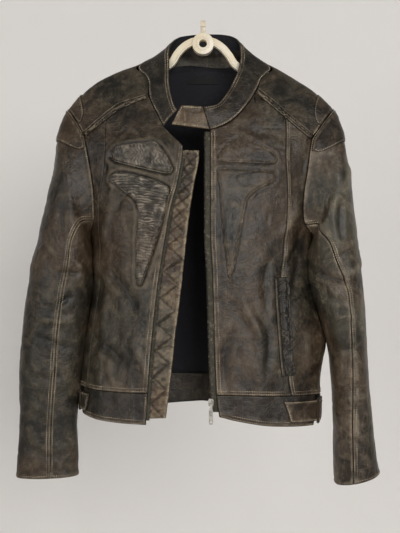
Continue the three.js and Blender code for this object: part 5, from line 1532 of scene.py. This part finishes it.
def edge_strip(side, top, foot, inner, outer, depth, width, cell=2.4):
    s = SIDES[side]
    z = mix(foot, top, spread(top - foot, cell))[:, None]
    u = spread(width, 0.8 * cell)[None]
    across = mix(inner(z), outer(z), u)
    y = s["front_depth"](z) + depth(u, z) + 0 * across
    return np.stack([s["sign"] * across, y, z + 0 * across], -1)


front_right, front_left = SIDES["right"]["front_across"], SIDES["left"]["front_across"]
tape = edge_strip("right", -258, -718, lambda z: front_right(z) + 10,
                  lambda z: front_right(z) - 5, lambda u, z: 3.3, 15)
leather_sheet("right_zip_tape", tape, 1, ZIP_TAPE, "zip_tape", thickness=1.0, swell=0)
RIGHT_TEETH = tape[:, -1]
tape = edge_strip("left", -209, -706, lambda z: front_left(z) + 9,
                  lambda z: front_left(z) - 9.5, lambda u, z: 3.1, 18)
leather_sheet("left_zip_tape", tape, -1, ZIP_TAPE, "zip_tape", thickness=1.4, swell=0)
LEFT_TEETH = tape[:, -1]

# %% Quilted wind flap
ZIGZAG = 46.0


def zigzag_share(z, phase):
    """How far across the flap a zigzag of stitches is at a height."""
    return mix(0.16, 0.84, np.abs(np.mod(z / ZIGZAG + phase, 1) * 2 - 1))


def zigzag(share, z, phase=0.0):
    """Distance, in millimetres, from a zigzag of stitches across a strip 28 mm wide."""
    return np.abs(share - zigzag_share(z, phase)) * 28 * 0.62


flap = edge_strip("right", -243, -715, lambda z: front_right(z) + 12, flap_edge,
                  lambda u, z: 5.2 + 4 * u * u + 0.8 * np.sin(z / 17) * u, 42, 1.5)
shown = np.clip((np.abs(flap[..., 0]) - flap_edge(flap[..., 2]))
                / np.maximum(front_right(flap[..., 2]) - flap_edge(flap[..., 2]), 1), 0, 1)
# The stitched troughs of the quilt also get painted shade through the crest mark.
quilt = 0.6 - 1.7 * bump(zigzag(shown, flap[..., 2]) / 1.2)
upper = ease((flap[..., 2] + 470) / 120)
quilt = quilt - 1.4 * upper * bump(zigzag(shown, flap[..., 2], 0.5) / 1.2)
quilt = quilt + 1.1 * cloud(flap, (8, 30, 5), 31) + 0.7 * cloud(flap, (20, 30, 16), 32)
leather_sheet("right_wind_flap", flap, 1, RUBBED_LEATHER, "rubbed_leather", thickness=2.6,
              swell=0, sewn={"far": (3.0,), "high": (3.0,)},
              extra=quilt)
flap = SKINS["right_wind_flap"][0]
STITCH_LINES_DARK = []
for phase, lowest in ((0.0, -720), (0.5, -420)):
    zig = []
    for row in range(flap.shape[0]):
        level = flap[row, 0, 2]
        if level > lowest:
            across = mix(flap_edge(level), front_right(level), zigzag_share(level, phase))
            j = int(np.argmin(np.abs(np.abs(flap[row, :, 0]) - across)))
            zig.append(flap[row, j] + (0, -0.15, 0))
    STITCH_LINES_DARK.append((np.array(zig), np.tile((0.0, -1.0, 0.0), (len(zig), 1))))

# %% [markdown]
# ## Waist adjusters
# At each side a strap from the front part of the hem band crosses the notch to a short end on
# the back part, and a narrow keeper goes round both. All three lie on the band's own skin.

# %% Waist adjusters
for side in SIDES:
    s = SIDES[side]
    start, end = NOTCH[side]

    def strap(part, a, b, lean, low, high, lift, thickness, material, slot, width, sewn):
        u, v = spread(width, 2.2), spread(42, 2.6)
        turns = mix(a + lean * (v[:, None] - 0.5), b, u[None])
        share = mix(low, high, v)[:, None]
        z = mix(s["hem"](turns) + 5, s["band_seam"](turns) - 6, share)
        grid = body_skin(side, turns, z)
        leather_sheet(f"{side}_adjuster_{part}", grid, s["sign"], material, slot, thickness,
                      lift, sewn, 0.4)

    strap("strap", start - (0.12 if side == "right" else 0.31), end + 0.02, -0.05, 0.06, 0.94,
          3.4, 2.2, STRAP_LEATHER, "rubbed_leather", 60,
          {"near": (3.0,), "low": (3.0,), "high": (3.0,)})
    strap("keeper", start + 0.01, start + 0.05, 0, -0.02, 1.02, 5.6, 1.6, WORN_LEATHER,
          "leather", 8, {})
    strap("end", end + 0.035, end + 0.12, 0.02, 0.02, 0.98, 3.2, 2.2, STRAP_LEATHER,
          "rubbed_leather", 16, {"far": (3.0,)})

# %% [markdown]
# ## Zip teeth and stitches
# Teeth and stitches are too many to be separate objects. Each row is one mesh: a small bead is
# copied along a line at a fixed pitch, and turned to follow the line and the surface below.

# %% Beads along a line
def beads_along(lines, pitch, length, width, height, sink):
    points, faces = [], []
    shape = np.array([(-1, 0, 0), (-0.6, -1, 0.2), (-0.6, 1, 0.2), (0.6, -1, 0.2), (0.6, 1, 0.2),
                      (1, 0, 0), (-0.5, 0, 1), (0.5, 0, 1)])
    shape_faces = [(0, 1, 6), (0, 6, 2), (1, 3, 7), (1, 7, 6), (2, 6, 7), (2, 7, 4), (3, 5, 7),
                   (4, 7, 5)]
    for line, aims in lines:
        if len(line) < 3:
            continue
        run = run_of(line)
        at = (np.arange(int(run[-1] / pitch)) + 0.5) * pitch
        centre = read_at(at, run, line)
        forward = unit(read_at(at + 0.5, run, line) - read_at(at - 0.5, run, line))
        aside = unit(np.cross(read_at(at, run, aims), forward))
        up = np.cross(forward, aside)
        bead = (centre[:, None] - up[:, None] * sink
                + forward[:, None] * shape[None, :, 0:1] * length / 2
                + aside[:, None] * shape[None, :, 1:2] * width / 2
                + up[:, None] * shape[None, :, 2:3] * height)
        start = len(points) * len(shape)
        for b in bead:
            faces.extend([tuple(k + start for k in f) for f in shape_faces])
            points.append(b)
            start += len(shape)
    return np.concatenate(points), faces


points, faces = beads_along(STITCH_LINES, STITCH_PITCH, 2.9, 1.25, 0.75, 0.1)
dressed(make_piece("pale_stitching", points, faces, THREAD), "rubbed_leather")
print("pale stitches:", len(faces) // 8)
points, faces = beads_along(STITCH_LINES_DARK, 3.6, 2.9, 1.3, 0.6, 0.1)
dressed(make_piece("dark_stitching", points, faces, DARK_THREAD), "leather")
print("dark stitches:", len(faces) // 8)

# %% Zip teeth
teeth_lines = []
for edge in (RIGHT_TEETH, LEFT_TEETH):
    aims = np.tile((0.0, -1.0, 0.0), (len(edge), 1))
    teeth_lines.append((edge + (0, -0.2, 0), aims))
points, faces = beads_along(teeth_lines, 2.6, 1.5, 3.4, 1.2, 0.4)
dressed(make_piece("zip_teeth", points, faces, DARK_TEETH, smooth=False), "zip_metal")
print("teeth:", len(faces) // 8)

# %% [markdown]
# ## Slider and pull
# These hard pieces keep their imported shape, which is already right, and only get their metal.

# %% Metal on the slider and the pull
for node in ("zip_slider", "zip_pull"):
    metal_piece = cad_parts[node]
    metal_piece.data.materials.clear()
    metal_piece.data.materials.append(ZIP_METAL)
    print(node, "in", ZIP_METAL.name)

# %% [markdown]
# ## Hanger
# The hanger is moulded plastic: a bar with a raised rim, swept along the shoulders, a ring boss
# in the middle, and a hook. The bar is swept as rings of points and its edges are rounded with
# a bevel, as a mould would leave them.

# %% Swept bars
ARM_LINES = {
    -1: [(22, -34.5), (36, -43), (48, -56), (59, -73), (84, -86), (125, -96), (150, -102.6),
         (170, -110), (190, -118.6), (205, -127)],
    1: [(22, -35), (36, -44.5), (48, -58.5), (60, -76), (84, -89), (125, -98.4), (150, -106.8),
        (170, -116.4), (190, -126.4), (205, -136.4)],
}


def swept(line, profile, across):
    tangent = np.gradient(line, axis=0)
    rise = unit(np.cross(across, tangent))
    profile = np.array(profile, float)
    rings = (line[:, None] + rise[:, None] * profile[None, :, 0:1]
             + np.array(across, float) * profile[None, :, 1:2])
    n = len(profile)
    index = np.arange(len(line) * n).reshape(len(line), n)
    nxt = np.roll(index, -1, axis=1)
    sides = np.stack([index[:-1], nxt[:-1], nxt[1:], index[1:]], -1).reshape(-1, 4).tolist()
    return rings.reshape(-1, 3), sides + [index[0][::-1].tolist(), index[-1].tolist()]


def rounded(piece, width):
    bevel = piece.modifiers.new("rounded edges", "BEVEL")
    bevel.width = width * MM
    bevel.segments = 3
    bevel.limit_method = "ANGLE"
    bevel.angle_limit = np.radians(35)
    return piece


print("points drawn along each arm:", len(ARM_LINES[1]))

# %% The two arms
RIMMED = [(-7, -4), (4, -4), (4, -7), (7, -7), (7, 7), (4, 7), (4, 4), (-7, 4)]
for sign, name in ((-1, "right"), (1, "left")):
    arm_line = fair_curve([(sign * 12, 0, -31.6)] + [(sign * x, 0, z) for x, z in ARM_LINES[sign]])
    arm_line = by_length(arm_line, np.linspace(0, 1, 70))[::-1 if sign < 0 else 1]
    points, faces = swept(arm_line, RIMMED, (0, 1, 0))
    arm = rounded(make_piece(f"hanger_{name}_arm", points, faces, HANGER_PLASTIC), 1.3)
    dressed(arm, "hanger", *(["hanger"] if sign < 0 else []))
    print(arm.name, "points", len(points))

# %% Ring boss and hook
turn = np.linspace(0, 2 * np.pi, 64, endpoint=False)
profile = [(7.5, -9), (10, -9), (10, -10.5), (12.5, -10.5), (12.5, -9), (20, -9), (20, 9),
           (12.5, 9), (12.5, 10.5), (10, 10.5), (10, 9), (7.5, 9)]
rings = np.array([[(r * np.cos(a), y, -38 + r * np.sin(a)) for r, y in profile] for a in turn])
index = np.arange(rings.shape[0] * rings.shape[1]).reshape(rings.shape[:2])
after = np.roll(index, -1, axis=0)
right_of = np.roll(index, -1, axis=1)
both = np.roll(after, -1, axis=1)
faces = np.stack([index, right_of, both, after], -1).reshape(-1, 4).tolist()
boss = rounded(make_piece("hanger_ring", rings.reshape(-1, 3), faces, HANGER_PLASTIC), 0.8)
dressed(boss, "hanger")
hook_line = fair_curve([(0, y, z) for y, z in [
    (4, -22), (8.5, -15), (10.8, -8), (9.4, -1), (5.5, 2.6), (0, 4), (-5.5, 2.6), (-9.2, -1.5),
    (-10.4, -8)]])
hook_line = by_length(hook_line, np.linspace(0, 1, 60))
points, faces = swept(hook_line, [(-2.2, -4.5), (2.2, -4.5), (2.2, 4.5), (-2.2, 4.5)], (1, 0, 0))
hook = rounded(make_piece("hanger_hook", points, faces, HANGER_PLASTIC), 1.2)
dressed(hook, "hanger")
print("hanger pieces: 4")

# %% [markdown]
# ## Light, wall and floor
# The photograph is lit by a wide soft light from the front and above, a little from the left,
# against a pale warm wall. Two large area lights and an even surround give that. A third
# light stands behind, for views of the back, where the one-sided wall is clear.

# %% Backdrop
wide, back_y, floor_z, bend = 3.2, 1.1, -1.75, 0.5
angles = np.linspace(0, np.pi / 2, 16)
rail = [(-4.0, floor_z)]
rail += [(back_y - bend + bend * np.sin(a), floor_z + bend - bend * np.cos(a)) for a in angles]
rail += [(back_y, 2.2)]
points = np.array([(x, y, z) for y, z in rail for x in (-wide, wide)]) / MM
faces = [(2 * k, 2 * k + 1, 2 * k + 3, 2 * k + 2) for k in range(len(rail) - 1)]
wall = make_piece("wall_and_floor", points, faces, PALE_WALL)
print("wall and floor:", len(points), "points")


# %% Lights
WARM_WHITE = (1, 0.985, 0.965)
JACKET_MIDDLE = (0, 0, -0.5)


def soft_light(name, at, size, power):
    light = bpy.data.lights.new(name, "AREA")
    light.shape = "RECTANGLE"
    light.size, light.size_y = size
    light.energy = power
    light.color = WARM_WHITE
    holder = bpy.data.objects.new(name, light)
    holder.location = at
    aim = Vector(JACKET_MIDDLE) - Vector(at)
    holder.rotation_euler = aim.to_track_quat("-Z", "Y").to_euler()
    bpy.context.scene.collection.objects.link(holder)


soft_light("key", (1.5, -3.9, 0.5), (2.0, 1.8), 94)
soft_light("fill", (-2.6, -3.4, 0.1), (2.0, 2.0), 42)
soft_light("behind", (-1.9, 3.7, 0.7), (2.0, 1.8), 150)
world = bpy.data.worlds.new("studio")
world.use_nodes = True
world.node_tree.nodes["Background"].inputs["Color"].default_value = (1, 0.98, 0.955, 1)
world.node_tree.nodes["Background"].inputs["Strength"].default_value = 0.28
bpy.context.scene.view_settings.view_transform = "Standard"
bpy.context.scene.world = world
print("lights:", len(bpy.data.lights))
